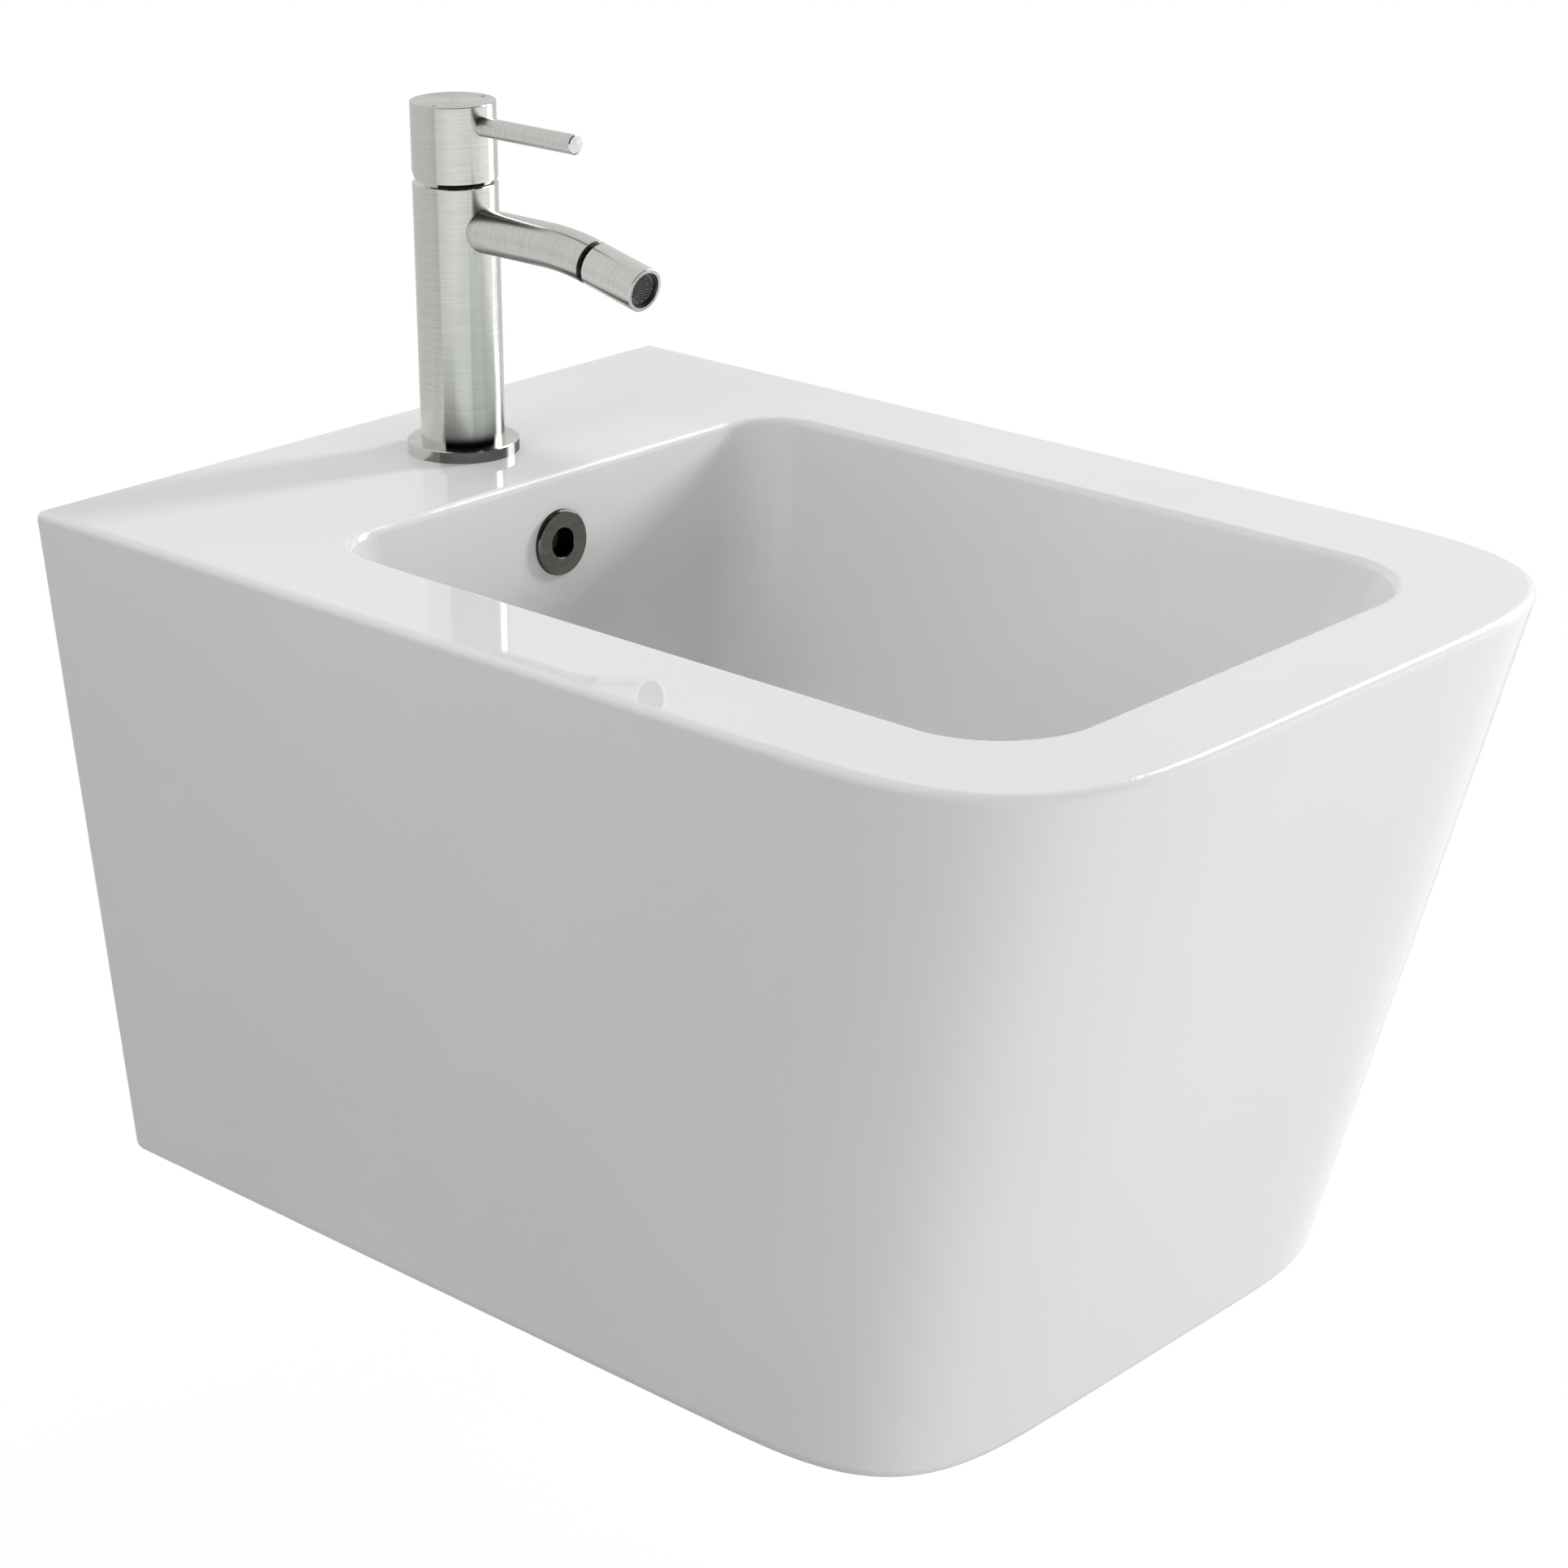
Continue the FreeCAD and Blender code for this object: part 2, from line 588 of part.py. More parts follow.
# Pieces at the spout's end are drawn upright and then laid along the nozzle's axis
nozzle_place = FreeCAD.Placement(spout_end, FreeCAD.Rotation(V(1, 0, 0), 90.0 + SPOUT_TILT))


def along_nozzle(shape):
    placed = shape.copy()
    placed.Placement = nozzle_place
    return placed


saddle = cyl(TAP_R + FIT / 2.0, above(BASE_T), above(TAP_TOP), 0.0, TAP_Y)
tenon = rod_y(SOCKET_R, TAP_Y - TAP_R - 2.0 * OVER, socket_y, 0.0, spout_line)
tube = swept(SPOUT_R).cut(saddle).fuse(tenon).removeSplitter()
tube = tube.cut([swept(SPOUT_BORE_R),
                 rod_y(SPOUT_BORE_R, TAP_Y - TAP_R - 2.0 * OVER, socket_y + OVER, 0.0, spout_line)])
tube = tube.cut(along_nozzle(cyl(BALL_SPIGOT_R + FIT / 2.0, -BALL_SPIGOT, OVER)))
save("spout", tube)

# Ball joint: hollow ball on the spout, split liner, nozzle with a screwed retainer
ball_at = GROOVE + BALL_BEHIND
mouth = GROOVE + NOZZLE_LENGTH
liner_in = BALL_R + FIT
liner_out = liner_in + LINER_T
cup_r = liner_out + FIT
cup_bore_r = cup_r + RETAINER_WALL
neck_hole_r = NECK_R + NECK_SWING
throat_r = NECK_R + NECK_SWING / 2.0


def ball_of(r):
    return Part.makeSphere(r, V(0, 0, ball_at))


ball = cyl(BALL_SPIGOT_R, -BALL_SPIGOT, 0.0).fuse([cyl(NECK_R, -OVER, ball_at), ball_of(BALL_R)])
ball = ball.cut(cyl(BALL_BORE_R, -BALL_SPIGOT - OVER, ball_at + BALL_R + OVER)).removeSplitter()
save("swivel_ball", along_nozzle(ball))

liner = ball_of(liner_out).cut(ball_of(liner_in))
liner = liner.common(cyl(liner_out + OVER, ball_at - LINER_HALF, ball_at + LINER_HALF))
split_low = ball_at - LINER_HALF - OVER
split_high = ball_at + LINER_HALF + OVER
liner = liner.cut(block(-LINER_SPLIT / 2.0, LINER_SPLIT / 2.0, 0.0, liner_out + OVER, split_low, split_high))
save("ball_liner", along_nozzle(liner))

aerator_r = SCREEN_R + AERATOR_WALL
aerator_back = ball_at + AERATOR_FROM_BALL
aerator_front = mouth - AERATOR_IN
housing_back = aerator_back + AERATOR_SEAL_T
screen_back = aerator_front - SCREEN_IN - SCREEN_T
sleeve = cyl(SPOUT_R, GROOVE, mouth)
sleeve = sleeve.makeChamfer(BASE_EDGE, edges_at(sleeve, GROOVE))
sleeve = sleeve.makeFillet(BASE_EDGE, edges_at(sleeve, mouth))
sleeve = sleeve.cut([cyl(cup_bore_r, GROOVE - OVER, ball_at), ball_of(cup_r),
                     cyl(throat_r, ball_at, mouth + OVER), cyl(aerator_r + FIT, aerator_back, mouth + OVER)])
save("nozzle_sleeve", along_nozzle(sleeve))
retainer = ring(neck_hole_r, cup_bore_r - FIT, GROOVE + RUN, ball_at).cut(ball_of(cup_r))
save("nozzle_retainer", along_nozzle(retainer))

save("aerator_seal", along_nozzle(ring(throat_r, aerator_r - FIT, aerator_back, housing_back)))
housing = ring(SCREEN_R - AERATOR_WALL, aerator_r, housing_back, aerator_front)
housing = housing.cut(cyl(SCREEN_R + FIT / 2.0, screen_back, aerator_front + OVER))
spray_high = screen_back - SPRAY_PLATE_GAP
spray_low = spray_high - SPRAY_PLATE_T
spray = cyl(SCREEN_R, spray_low, spray_high)
turns = [math.radians(45.0 * i) for i in range(8)]
spray = spray.cut([cyl(SPRAY_HOLE_R, spray_low - OVER, spray_high + OVER,
                       SPRAY_CIRCLE_R * math.cos(a), SPRAY_CIRCLE_R * math.sin(a)) for a in turns])
save("aerator_housing", along_nozzle(housing.fuse(spray).removeSplitter()))

steps = int(SCREEN_R / SCREEN_PITCH)
mesh = (SCREEN_PITCH - SCREEN_BAR) / 2.0
holes = []
for i in range(-steps, steps + 1):
    for j in range(-steps, steps + 1):
        x = i * SCREEN_PITCH
        y = j * SCREEN_PITCH
        if math.hypot(abs(x) + mesh, abs(y) + mesh) < SCREEN_R - SCREEN_BAR:
            square = Part.makePlane(2.0 * mesh, 2.0 * mesh, V(x - mesh, y - mesh, screen_back))
            holes.append(square)
rim = Part.Wire([Part.Circle(V(0, 0, screen_back), V(0, 0, 1), SCREEN_R).toShape()])
net = Part.Face(rim).cut(holes)
save("aerator_screen", along_nozzle(net.extrude(V(0, 0, SCREEN_T))))

# Cartridge: base with port seals, two discs, carrier, housing and ring nut
ports = [(-PORT_X, PORT_BACK), (PORT_X, PORT_BACK), (0.0, -PORT_FRONT)]
fixed_z = chamber_z + PLATFORM_T
moving_z = fixed_z + DISC_T
carrier_z = moving_z + DISC_T


def port_holes(r, low, high):
    return [cyl(r, low, high, x, TAP_Y + y) for x, y in ports]


seal_top = chamber_z + PORT_SEAL_T
platform = cyl(CARTRIDGE_R, chamber_z, fixed_z, 0.0, TAP_Y)
platform = platform.cut(port_holes(PORT_R, chamber_z - OVER, fixed_z + OVER))
save("cartridge_base", platform.cut(port_holes(PORT_SEAL_R + FIT, chamber_z - OVER, seal_top)))
save("cartridge_seals", Part.makeCompound(
    [ring(PORT_R, PORT_SEAL_R, chamber_z, seal_top, x, TAP_Y + y) for x, y in ports]))
fixed = cyl(CARTRIDGE_BORE_R - FIT, fixed_z, moving_z, 0.0, TAP_Y)
save("fixed_disc", fixed.cut(port_holes(PORT_R, fixed_z - OVER, moving_z + OVER)))

# At rest the moving disc stands back by half its travel and shuts the inlets
lift = math.radians(LIFT_MAX)
travel = BALL_END_DROP * math.sin(lift)
disc_y = TAP_Y + travel / 2.0
pivot_z = above(TAP_TOP + PIVOT_UP)
ball_end_z = pivot_z - BALL_END_DROP
carrier_top = ball_end_z + CARRIER_OVER_BALL
moving = cyl(MOVING_DISC_R, moving_z + DISC_FILM, carrier_z, 0.0, disc_y)
moving = moving.cut(slab(CHANNEL_WIDTH / 2.0, CHANNEL_LENGTH / 2.0, disc_y,
                         moving_z - OVER, moving_z + CHANNEL_DEPTH))
save("moving_disc", moving)
pocket = BALL_END_R + RUN
carrier = cyl(MOVING_DISC_R, carrier_z, carrier_top, 0.0, disc_y)
save("disc_carrier", carrier.cut(slab(pocket, pocket, TAP_Y, ball_end_z - pocket, carrier_top + OVER)))

neck_top = above(TAP_TOP + NECK_UP)
shell = cyl(CARTRIDGE_R, fixed_z, shoulder_z, 0.0, TAP_Y)
shell = shell.fuse(cyl(CARTRIDGE_NECK_R, shoulder_z, neck_top, 0.0, TAP_Y)).removeSplitter()
save("cartridge_housing", shell.cut(cyl(CARTRIDGE_BORE_R, fixed_z - OVER, neck_top + OVER, 0.0, TAP_Y)))

lock_top = above(TAP_TOP - LOCK_NUT_IN)
lock = ring(CARTRIDGE_NECK_R + FIT, lock_r - FIT, shoulder_z, lock_top, 0.0, TAP_Y)
slot_low = lock_top - LOCK_SLOT_DEPTH
lock = lock.cut([slab(lock_r, LOCK_SLOT / 2.0, TAP_Y, slot_low, lock_top + OVER),
                 slab(LOCK_SLOT / 2.0, lock_r, TAP_Y, slot_low, lock_top + OVER)])
save("cartridge_nut", lock)

# Spindle guide turns with the handle, the stem rocks in it on a cross pin
guide_r = CARTRIDGE_BORE_R - RUN
guide_low = carrier_top + RUN
guide_top = pivot_z + GUIDE_OVER_PIN
stem_half = STEM_SIDE / 2.0
rock = stem_half / math.cos(lift) + RUN
slot_front = TAP_Y - (pivot_z - guide_low) * math.tan(lift) - rock
slot_rear = TAP_Y + (guide_top - pivot_z) * math.tan(lift) + rock
guide = cyl(guide_r, guide_low, guide_top, 0.0, TAP_Y)
slot_half = stem_half + RUN
guide = guide.cut([block(-slot_half, slot_half, slot_front, slot_rear, guide_low - OVER, guide_top + OVER),
                   rod_x(PIVOT_PIN_R + FIT / 4.0, guide_r + OVER, TAP_Y, pivot_z)])
save("spindle_guide", guide)
save("pivot_pin", rod_x(PIVOT_PIN_R, guide_r - OVER, TAP_Y, pivot_z))

handle_low = above(TAP_TOP + SHADOW_GAP)
handle_top = handle_low + HANDLE_HEIGHT
hub_low = handle_top - HANDLE_TOP_T
head_low = hub_low - STEM_HEAD_OUT
head_top = handle_top - STEM_HEAD_COVER
head_half = STEM_HEAD_SIDE / 2.0
stem = Part.makeSphere(BALL_END_R, V(0, TAP_Y, ball_end_z))
stem = stem.fuse([cyl(BALL_END_R - RUN, ball_end_z, ball_end_z + BALL_END_R + OVER, 0.0, TAP_Y),
                  slab(stem_half, stem_half, TAP_Y, ball_end_z + BALL_END_R, head_low),
                  slab(head_half, head_half, TAP_Y, head_low, head_top)]).removeSplitter()
save("stem", stem.cut(rod_x(PIVOT_PIN_R + FIT / 2.0, STEM_SIDE, TAP_Y, pivot_z)))

# Handle: cup with a solid head, its rear foot cut away to clear the column when lifted
lever_z = handle_top - LEVER_BELOW_TOP
stub_end = TAP_Y - LEVER_STUB_IN
skirt_low = above(TAP_TOP) + RUN + FIT
cap = cyl(TAP_R, handle_low, handle_top, 0.0, TAP_Y)
cap = cap.makeFillet(HANDLE_EDGE, edges_at(cap, handle_top))
cap = cap.fuse(cyl(TAP_R - SKIRT_INSET, skirt_low, handle_low, 0.0, TAP_Y)).removeSplitter()
cap = cap.cut([cyl(TAP_R - HANDLE_WALL, skirt_low - OVER, hub_low, 0.0, TAP_Y),
               slab(head_half + FIT, head_half + FIT, TAP_Y, hub_low - OVER, head_top + FIT),
               rod_y(LEVER_STUB_R + FIT / 2.0, TAP_Y - TAP_R - OVER, stub_end + FIT, 0.0, lever_z),
               rod_y(SCREW_R + FIT / 2.0, TAP_Y, TAP_Y + TAP_R + OVER, 0.0, lever_z)])
sweep = slab(TAP_D, TAP_D, TAP_Y, above(TAP_TOP) - HANDLE_HEIGHT, above(TAP_TOP) + REAR_CUT_UP)
sweep.rotate(V(0, TAP_Y, pivot_z), V(1, 0, 0), REAR_CUT_TURN)
cap = cap.cut(sweep)
marks = [cyl(MARK_R, handle_top - MARK_T, handle_top, s * MARK_X, TAP_Y - MARK_FRONT) for s in (-1, 1)]
save("handle_cap", cap.cut(marks))
save("hot_mark", marks[0])
save("cold_mark", marks[1])

lever_end = TAP_Y - LEVER_REACH
lever = rod_y(LEVER_D / 2.0, lever_end, TAP_Y - TAP_R + LEVER_D / 2.0, 0.0, lever_z)
tip = [e for e in lever.Edges if e.Closed and abs(e.valueAt(e.FirstParameter).y - lever_end) < 1e-4]
lever = lever.makeChamfer(LEVER_EDGE, tip)
lever = lever.cut(cyl(TAP_R + FIT / 2.0, lever_z - LEVER_D, lever_z + LEVER_D, 0.0, TAP_Y))
stub = rod_y(LEVER_STUB_R, TAP_Y - TAP_R - OVER, stub_end, 0.0, lever_z)
save("lever", lever.fuse(stub).removeSplitter())

screw_end = TAP_Y + head_half + SCREW_LENGTH
screw = rod_y(SCREW_R, TAP_Y + head_half, screw_end, 0.0, lever_z)
key = hexagon(SCREW_KEY_AF, -SCREW_KEY_DEPTH, OVER)
key.Placement = FreeCAD.Placement(V(0, screw_end, lever_z), FreeCAD.Rotation(V(1, 0, 0), -90.0))
save("handle_screw", screw.cut(key))

# Waste: flanged body with overflow windows, seals, back nut, tail pipe
waste_seal_top = SEAT_Z + WASTE_SEAL_T
flange_top = waste_seal_top + WASTE_FLANGE_T
waste_in = WASTE_R - WASTE_WALL
step_in = waste_in - WASTE_STEP
step_z = SEAT_Z - WASTE_STEP_DROP
lip_z = SEAT_Z - WASTE_LENGTH
lip_top = lip_z + WASTE_LIP_T
neck_r = TAIL_R - TAIL_NECK
waste = turned([
    (waste_in, flange_top), (WASTE_FLANGE_R - WASTE_FLANGE_EDGE, flange_top),
    (WASTE_FLANGE_R, flange_top - WASTE_FLANGE_EDGE), (WASTE_FLANGE_R, waste_seal_top),
    (WASTE_R, waste_seal_top), (WASTE_R, lip_z), (neck_r + FIT, lip_z), (neck_r + FIT, lip_top),
    (step_in, lip_top), (step_in, step_z), (waste_in, step_z),
], DRAIN_Y)
save("waste_body", waste.cut(slab(WASTE_WINDOW / 2.0, WASTE_R + OVER, DRAIN_Y,
                                  duct_z - DUCT_GAP / 2.0, duct_z + DUCT_GAP / 2.0)))
waste_seal_r = WASTE_FLANGE_R - WASTE_FLANGE_EDGE
save("waste_seal", ring(WASTE_R + FIT, waste_seal_r, SEAT_Z, waste_seal_top, 0.0, DRAIN_Y))

cone_low = BOSS_Z - CONE_T
cone_in = WASTE_R + PASS - FIT
save("waste_cone_seal", turned([
    (WASTE_R + FIT, cone_low), (WASTE_R + CONE_W, cone_low), (WASTE_R + CONE_W, BOSS_Z),
    (cone_in, BOSS_Z), (cone_in, BOSS_Z + CONE_UP - OVER), (WASTE_R + FIT, BOSS_Z + CONE_UP),
], DRAIN_Y))
slip_low = cone_low - SLIP_T
save("waste_washer", ring(WASTE_R + FIT, WASTE_R + SLIP_W, slip_low, cone_low, 0.0, DRAIN_Y))
nut_low = slip_low - BACK_NUT_T
back_nut = hexagon(2.0 * (WASTE_R + BACK_NUT_W), nut_low, slip_low, 0.0, DRAIN_Y)
back_nut = back_nut.common(cyl(WASTE_R + SLIP_W, nut_low, slip_low, 0.0, DRAIN_Y))
save("waste_nut", back_nut.cut(cyl(WASTE_R + FIT, nut_low - OVER, slip_low + OVER, 0.0, DRAIN_Y)))

# Tail pipe: its collar hangs on the lip inside the waste, its neck passes through the lip
tail_bore = TAIL_R - TAIL_WALL
tail_top = lip_z - RUN
tail_foot = tail_top - TAIL_LENGTH
collar_top = lip_top + TAIL_COLLAR_T
save("waste_tail", turned([
    (tail_bore, collar_top), (step_in - FIT, collar_top), (step_in - FIT, lip_top), (neck_r, lip_top),
    (neck_r, tail_top), (TAIL_R, tail_top), (TAIL_R, tail_foot), (tail_bore, tail_foot),
], DRAIN_Y))

# Press plug: a rod in a spider that stands on the step inside the waste
hub_r = PLUG_ROD_R + RUN + HUB_WALL
spider_top = step_z + SPIDER_T
hub_low = step_z - HUB_DOWN
hub_high = spider_top + HUB_UP
rim_in = waste_in - FIT - SPIDER_RIM
arm_out = rim_in + SPIDER_RIM / 2.0
arms = []
for i in range(3):
    arm = block(hub_r - OVER, arm_out, -SPIDER_ARM / 2.0, SPIDER_ARM / 2.0, step_z, spider_top)
    arm.rotate(V(0, 0, 0), V(0, 0, 1), 30.0 + 120.0 * i)
    arms.append(arm)
spider = ring(rim_in, waste_in - FIT, step_z, spider_top).fuse(arms + [cyl(hub_r, hub_low, hub_high)])
spider = spider.removeSplitter().cut(cyl(PLUG_ROD_R + RUN, hub_low - OVER, hub_high + OVER))
spider.translate(V(0, DRAIN_Y, 0))
save("plug_spider", spider)

# Shut, the plug's seal lies just over the flange; raised, the rod's foot is level with the hub's
cap_low = flange_top + RUN + PLUG_SEAL_T
edge_high = cap_low + PLUG_EDGE_T
plug_edge = PLUG_EDGE_T / 4.0
plug = turned([
    (0.0, cap_low), (PLUG_R - plug_edge, cap_low), (PLUG_R, cap_low + plug_edge),
    (PLUG_R, edge_high - plug_edge), (PLUG_R - plug_edge, edge_high),
    (PLUG_R * 0.6, edge_high + PLUG_CROWN * 0.64), (0.0, edge_high + PLUG_CROWN),
], DRAIN_Y)
tenon_top = cap_low + PLUG_TENON
save("plug_cap", plug.cut(cyl(PLUG_TENON_R + FIT / 2.0, cap_low - OVER, tenon_top, 0.0, DRAIN_Y)))
seal_r = waste_in - PLUG_SEAL_W / 4.0
save("plug_seal", ring(seal_r, seal_r + PLUG_SEAL_W, cap_low - PLUG_SEAL_T, cap_low, 0.0, DRAIN_Y))
rod = cyl(PLUG_ROD_R, hub_low - PLUG_TRAVEL, cap_low, 0.0, DRAIN_Y)
save("plug_rod", rod.fuse(cyl(PLUG_TENON_R, cap_low, tenon_top, 0.0, DRAIN_Y)).removeSplitter())
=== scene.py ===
# %% [markdown]
# A wall-hung bidet with its mixer tap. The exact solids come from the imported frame, in metres, with the
# wall plane at y = 0, the front towards -y and the rim 95 mm above the wall fixings. This lesson sets up
# a small studio round them, gives every piece its finish, and models the fine pieces that plain solids
# lack.

# %% Load the frame
import bpy
import json
import math
from mathutils import Matrix, Vector


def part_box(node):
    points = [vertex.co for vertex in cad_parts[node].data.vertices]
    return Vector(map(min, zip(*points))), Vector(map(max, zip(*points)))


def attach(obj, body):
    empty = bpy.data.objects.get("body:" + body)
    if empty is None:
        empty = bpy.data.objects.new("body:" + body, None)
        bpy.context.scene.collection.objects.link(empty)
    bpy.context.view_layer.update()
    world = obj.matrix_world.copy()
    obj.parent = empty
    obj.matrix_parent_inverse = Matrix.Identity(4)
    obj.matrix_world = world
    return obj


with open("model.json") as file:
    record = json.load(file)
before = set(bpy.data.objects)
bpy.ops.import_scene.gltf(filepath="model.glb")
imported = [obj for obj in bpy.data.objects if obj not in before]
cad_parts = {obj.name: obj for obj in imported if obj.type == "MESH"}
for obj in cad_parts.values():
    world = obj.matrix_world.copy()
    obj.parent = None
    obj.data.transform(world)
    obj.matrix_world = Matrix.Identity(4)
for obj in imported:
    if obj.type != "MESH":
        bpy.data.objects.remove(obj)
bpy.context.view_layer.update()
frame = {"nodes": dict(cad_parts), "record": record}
nodes = frame["nodes"]


# %% [markdown]
# The camera stands to the left of the front, a little above the tap, and looks down across the bowl. Its
# three axes and its eye were worked out from the straight edges and the corners that can be told apart
# in the picture, so the matrix is written out instead of being pointed by hand.

# %% Camera
SENSOR_MM, LENS_MM = 36.0, 86.5659
eye = (-1.062505, -1.211278, 0.550376)
axis_right = (0.671424819, -0.741072670, -0.000104860)
axis_up = (0.27022876, 0.24470023, 0.93118109)
axis_back = (-0.69004719, -0.62524643, 0.36455695)

scene = bpy.context.scene
lens_data = bpy.data.cameras.new("studio_camera")
lens_data.sensor_width = SENSOR_MM
lens_data.lens = LENS_MM
camera = bpy.data.objects.new("studio_camera", lens_data)
scene.collection.objects.link(camera)
camera.matrix_world = Matrix((
    (axis_right[0], axis_up[0], axis_back[0], eye[0]),
    (axis_right[1], axis_up[1], axis_back[1], eye[1]),
    (axis_right[2], axis_up[2], axis_back[2], eye[2]),
    (0.0, 0.0, 0.0, 1.0)))
bpy.context.scene.camera = camera
print("camera at", eye, "lens", lens_data.lens)


# %% [markdown]
# The room. A studio is never evenly grey. A picture of a room could light it, but three numbers do as well:
# how pale the wall behind the basin is, the ceiling, and the ground. Each direction takes its share of the
# sides that it faces: the square of its y or its z. The end behind the camera is left dark.

# %% Room light
SIDES = (("Y", 1.0, 1.50), ("Z", 1.0, 0.45), ("Z", -1.0, 0.10))
FILL_TINT = (0.985, 1.0, 0.99, 1.0)


def node_in(tree, kind, **settings):
    node = tree.nodes.new(kind)
    for name, value in settings.items():
        setattr(node, name, value)
    return node


def math_in(tree, operation, *inputs):
    node = node_in(tree, "ShaderNodeMath", operation=operation)
    for socket, value in zip(node.inputs, inputs):
        if isinstance(value, (int, float)):
            socket.default_value = value
        else:
            tree.links.new(value, socket)
    return node.outputs[0]


def place_in(tree, where, axis):
    split = node_in(tree, "ShaderNodeSeparateXYZ")
    tree.links.new(where, split.inputs[0])
    return split.outputs[axis]


scene.view_settings.view_transform = "Standard"
room = bpy.data.worlds.new("pale_room")
scene.world = room
room.use_nodes = True
tree = room.node_tree
tree.nodes.clear()
outward = node_in(tree, "ShaderNodeTexCoord").outputs["Generated"]
fill_level = 0.0
for axis, sign, level in SIDES:
    facing = math_in(tree, "MAXIMUM", math_in(tree, "MULTIPLY", place_in(tree, outward, axis), sign), 0.0)
    fill_level = math_in(tree, "MULTIPLY_ADD", math_in(tree, "POWER", facing, 2.0), level, fill_level)
fill_light = node_in(tree, "ShaderNodeBackground")
fill_light.inputs["Color"].default_value = FILL_TINT
tree.links.new(fill_level, fill_light.inputs["Strength"])
print("room light", SIDES)


# %% [markdown]
# What the camera sees beyond the floor is plain white, while the room's own tones only light the object.
# Light Path tells the two apart. The room is kept out of the mirrors, because the ring of cards further down
# is made for them.

# %% Room as it is seen
WHITE = (1.0, 1.0, 1.0, 1.0)


def seen_in(tree):
    """1 where the camera looks, straight or in a mirror or through glass, and 0 where light is gathered."""
    path = node_in(tree, "ShaderNodeLightPath")
    seen = math_in(tree, "MAXIMUM", path.outputs["Is Camera Ray"], path.outputs["Is Glossy Ray"])
    return math_in(tree, "MAXIMUM", seen, path.outputs["Is Transmission Ray"])


def blended(tree, factor, first, second):
    blend = node_in(tree, "ShaderNodeMixShader")
    for value, socket in zip((factor, first, second), blend.inputs):
        tree.links.new(value, socket)
    return blend.outputs[0]


white_wall = node_in(tree, "ShaderNodeBackground")
white_wall.inputs["Color"].default_value = WHITE
out = node_in(tree, "ShaderNodeOutputWorld")
chosen = blended(tree, seen_in(tree), fill_light.outputs[0], white_wall.outputs[0])
tree.links.new(chosen, out.inputs["Surface"])
room.cycles_visibility.glossy = False
print("room has", len(tree.nodes), "nodes")


# %% [markdown]
# The floor is one large plane, well under the hanging basin, so that only a soft shadow reaches it. It is
# an ordinary white surface that takes the shadow. Away from the object it fades, for the camera, into the
# same white as the room, so no edge of it shows. In mirrors it gets duller towards the wall.

# %% Floor plane
FLOOR_Z = -0.66
FLOOR_SIZE = 16.0


def deselect_all():
    if bpy.context.object and bpy.context.object.mode != "OBJECT":
        bpy.ops.object.mode_set(mode="OBJECT")
    bpy.ops.object.select_all(action="DESELECT")


deselect_all()
bpy.ops.mesh.primitive_plane_add(size=FLOOR_SIZE, location=(0.0, 0.0, FLOOR_Z))
floor = bpy.context.object
floor.name = "studio_floor"
bpy.ops.object.transform_apply(location=True, rotation=True, scale=True)

# %% Floor paint
FLOOR_TONE, FLOOR_LIFT = 0.45, 0.52
FADE_FROM, FADE_TO = 0.30, 0.80
DULL_FROM_Y, DULL_TO_Y, DULLEST = -0.20, 0.30, 0.66
BASIN_MIDDLE_Y = -0.26


def new_material(name):
    material = bpy.data.materials.new(name)
    material.use_nodes = True
    material.node_tree.nodes.clear()
    return material, material.node_tree


def spread(tree, value, start, end, first=0.0, last=1.0, how="LINEAR"):
    """Runs from the first number to the last while the value runs from start to end."""
    span = node_in(tree, "ShaderNodeMapRange", interpolation_type=how)
    span.inputs["From Min"].default_value = start
    span.inputs["From Max"].default_value = end
    span.inputs["To Min"].default_value = first
    span.inputs["To Max"].default_value = last
    tree.links.new(value, span.inputs["Value"])
    return span.outputs["Result"]


def vector_in(tree, operation, first, second=None):
    node = node_in(tree, "ShaderNodeVectorMath", operation=operation)
    tree.links.new(first, node.inputs[0])
    if second is not None:
        node.inputs[1].default_value = second
    return node.outputs["Vector" if operation == "SUBTRACT" else "Value"]


floor_paint, tree = new_material("floor_paint")
where = node_in(tree, "ShaderNodeTexCoord").outputs["Object"]
by_camera = node_in(tree, "ShaderNodeLightPath").outputs["Is Camera Ray"]
paint = node_in(tree, "ShaderNodeBsdfDiffuse")
paint.inputs["Color"].default_value = (FLOOR_TONE, FLOOR_TONE, FLOOR_TONE, 1.0)
lift = node_in(tree, "ShaderNodeEmission")
tree.links.new(math_in(tree, "MULTIPLY", by_camera, FLOOR_LIFT), lift.inputs["Strength"])
lit = node_in(tree, "ShaderNodeAddShader")
tree.links.new(paint.outputs[0], lit.inputs[0])
tree.links.new(lift.outputs[0], lit.inputs[1])
far_white = node_in(tree, "ShaderNodeEmission")
mirror_level = spread(tree, place_in(tree, where, "Y"), DULL_FROM_Y, DULL_TO_Y, 1.0, DULLEST)
tree.links.new(math_in(tree, "MAXIMUM", by_camera, mirror_level), far_white.inputs["Strength"])
centred = node_in(tree, "ShaderNodeMapping")
centred.inputs["Location"].default_value = (0.0, -BASIN_MIDDLE_Y, -FLOOR_Z)
tree.links.new(where, centred.inputs["Vector"])
fade = spread(tree, vector_in(tree, "LENGTH", centred.outputs[0]), FADE_FROM, FADE_TO, how="SMOOTHSTEP")
out = node_in(tree, "ShaderNodeOutputMaterial")
faded = math_in(tree, "MULTIPLY", fade, seen_in(tree))
tree.links.new(blended(tree, faded, lit.outputs[0], far_white.outputs[0]), out.inputs["Surface"])
floor_paint.cycles.emission_sampling = "NONE"
floor.data.materials.append(floor_paint)
print("floor paint has", len(tree.nodes), "nodes")


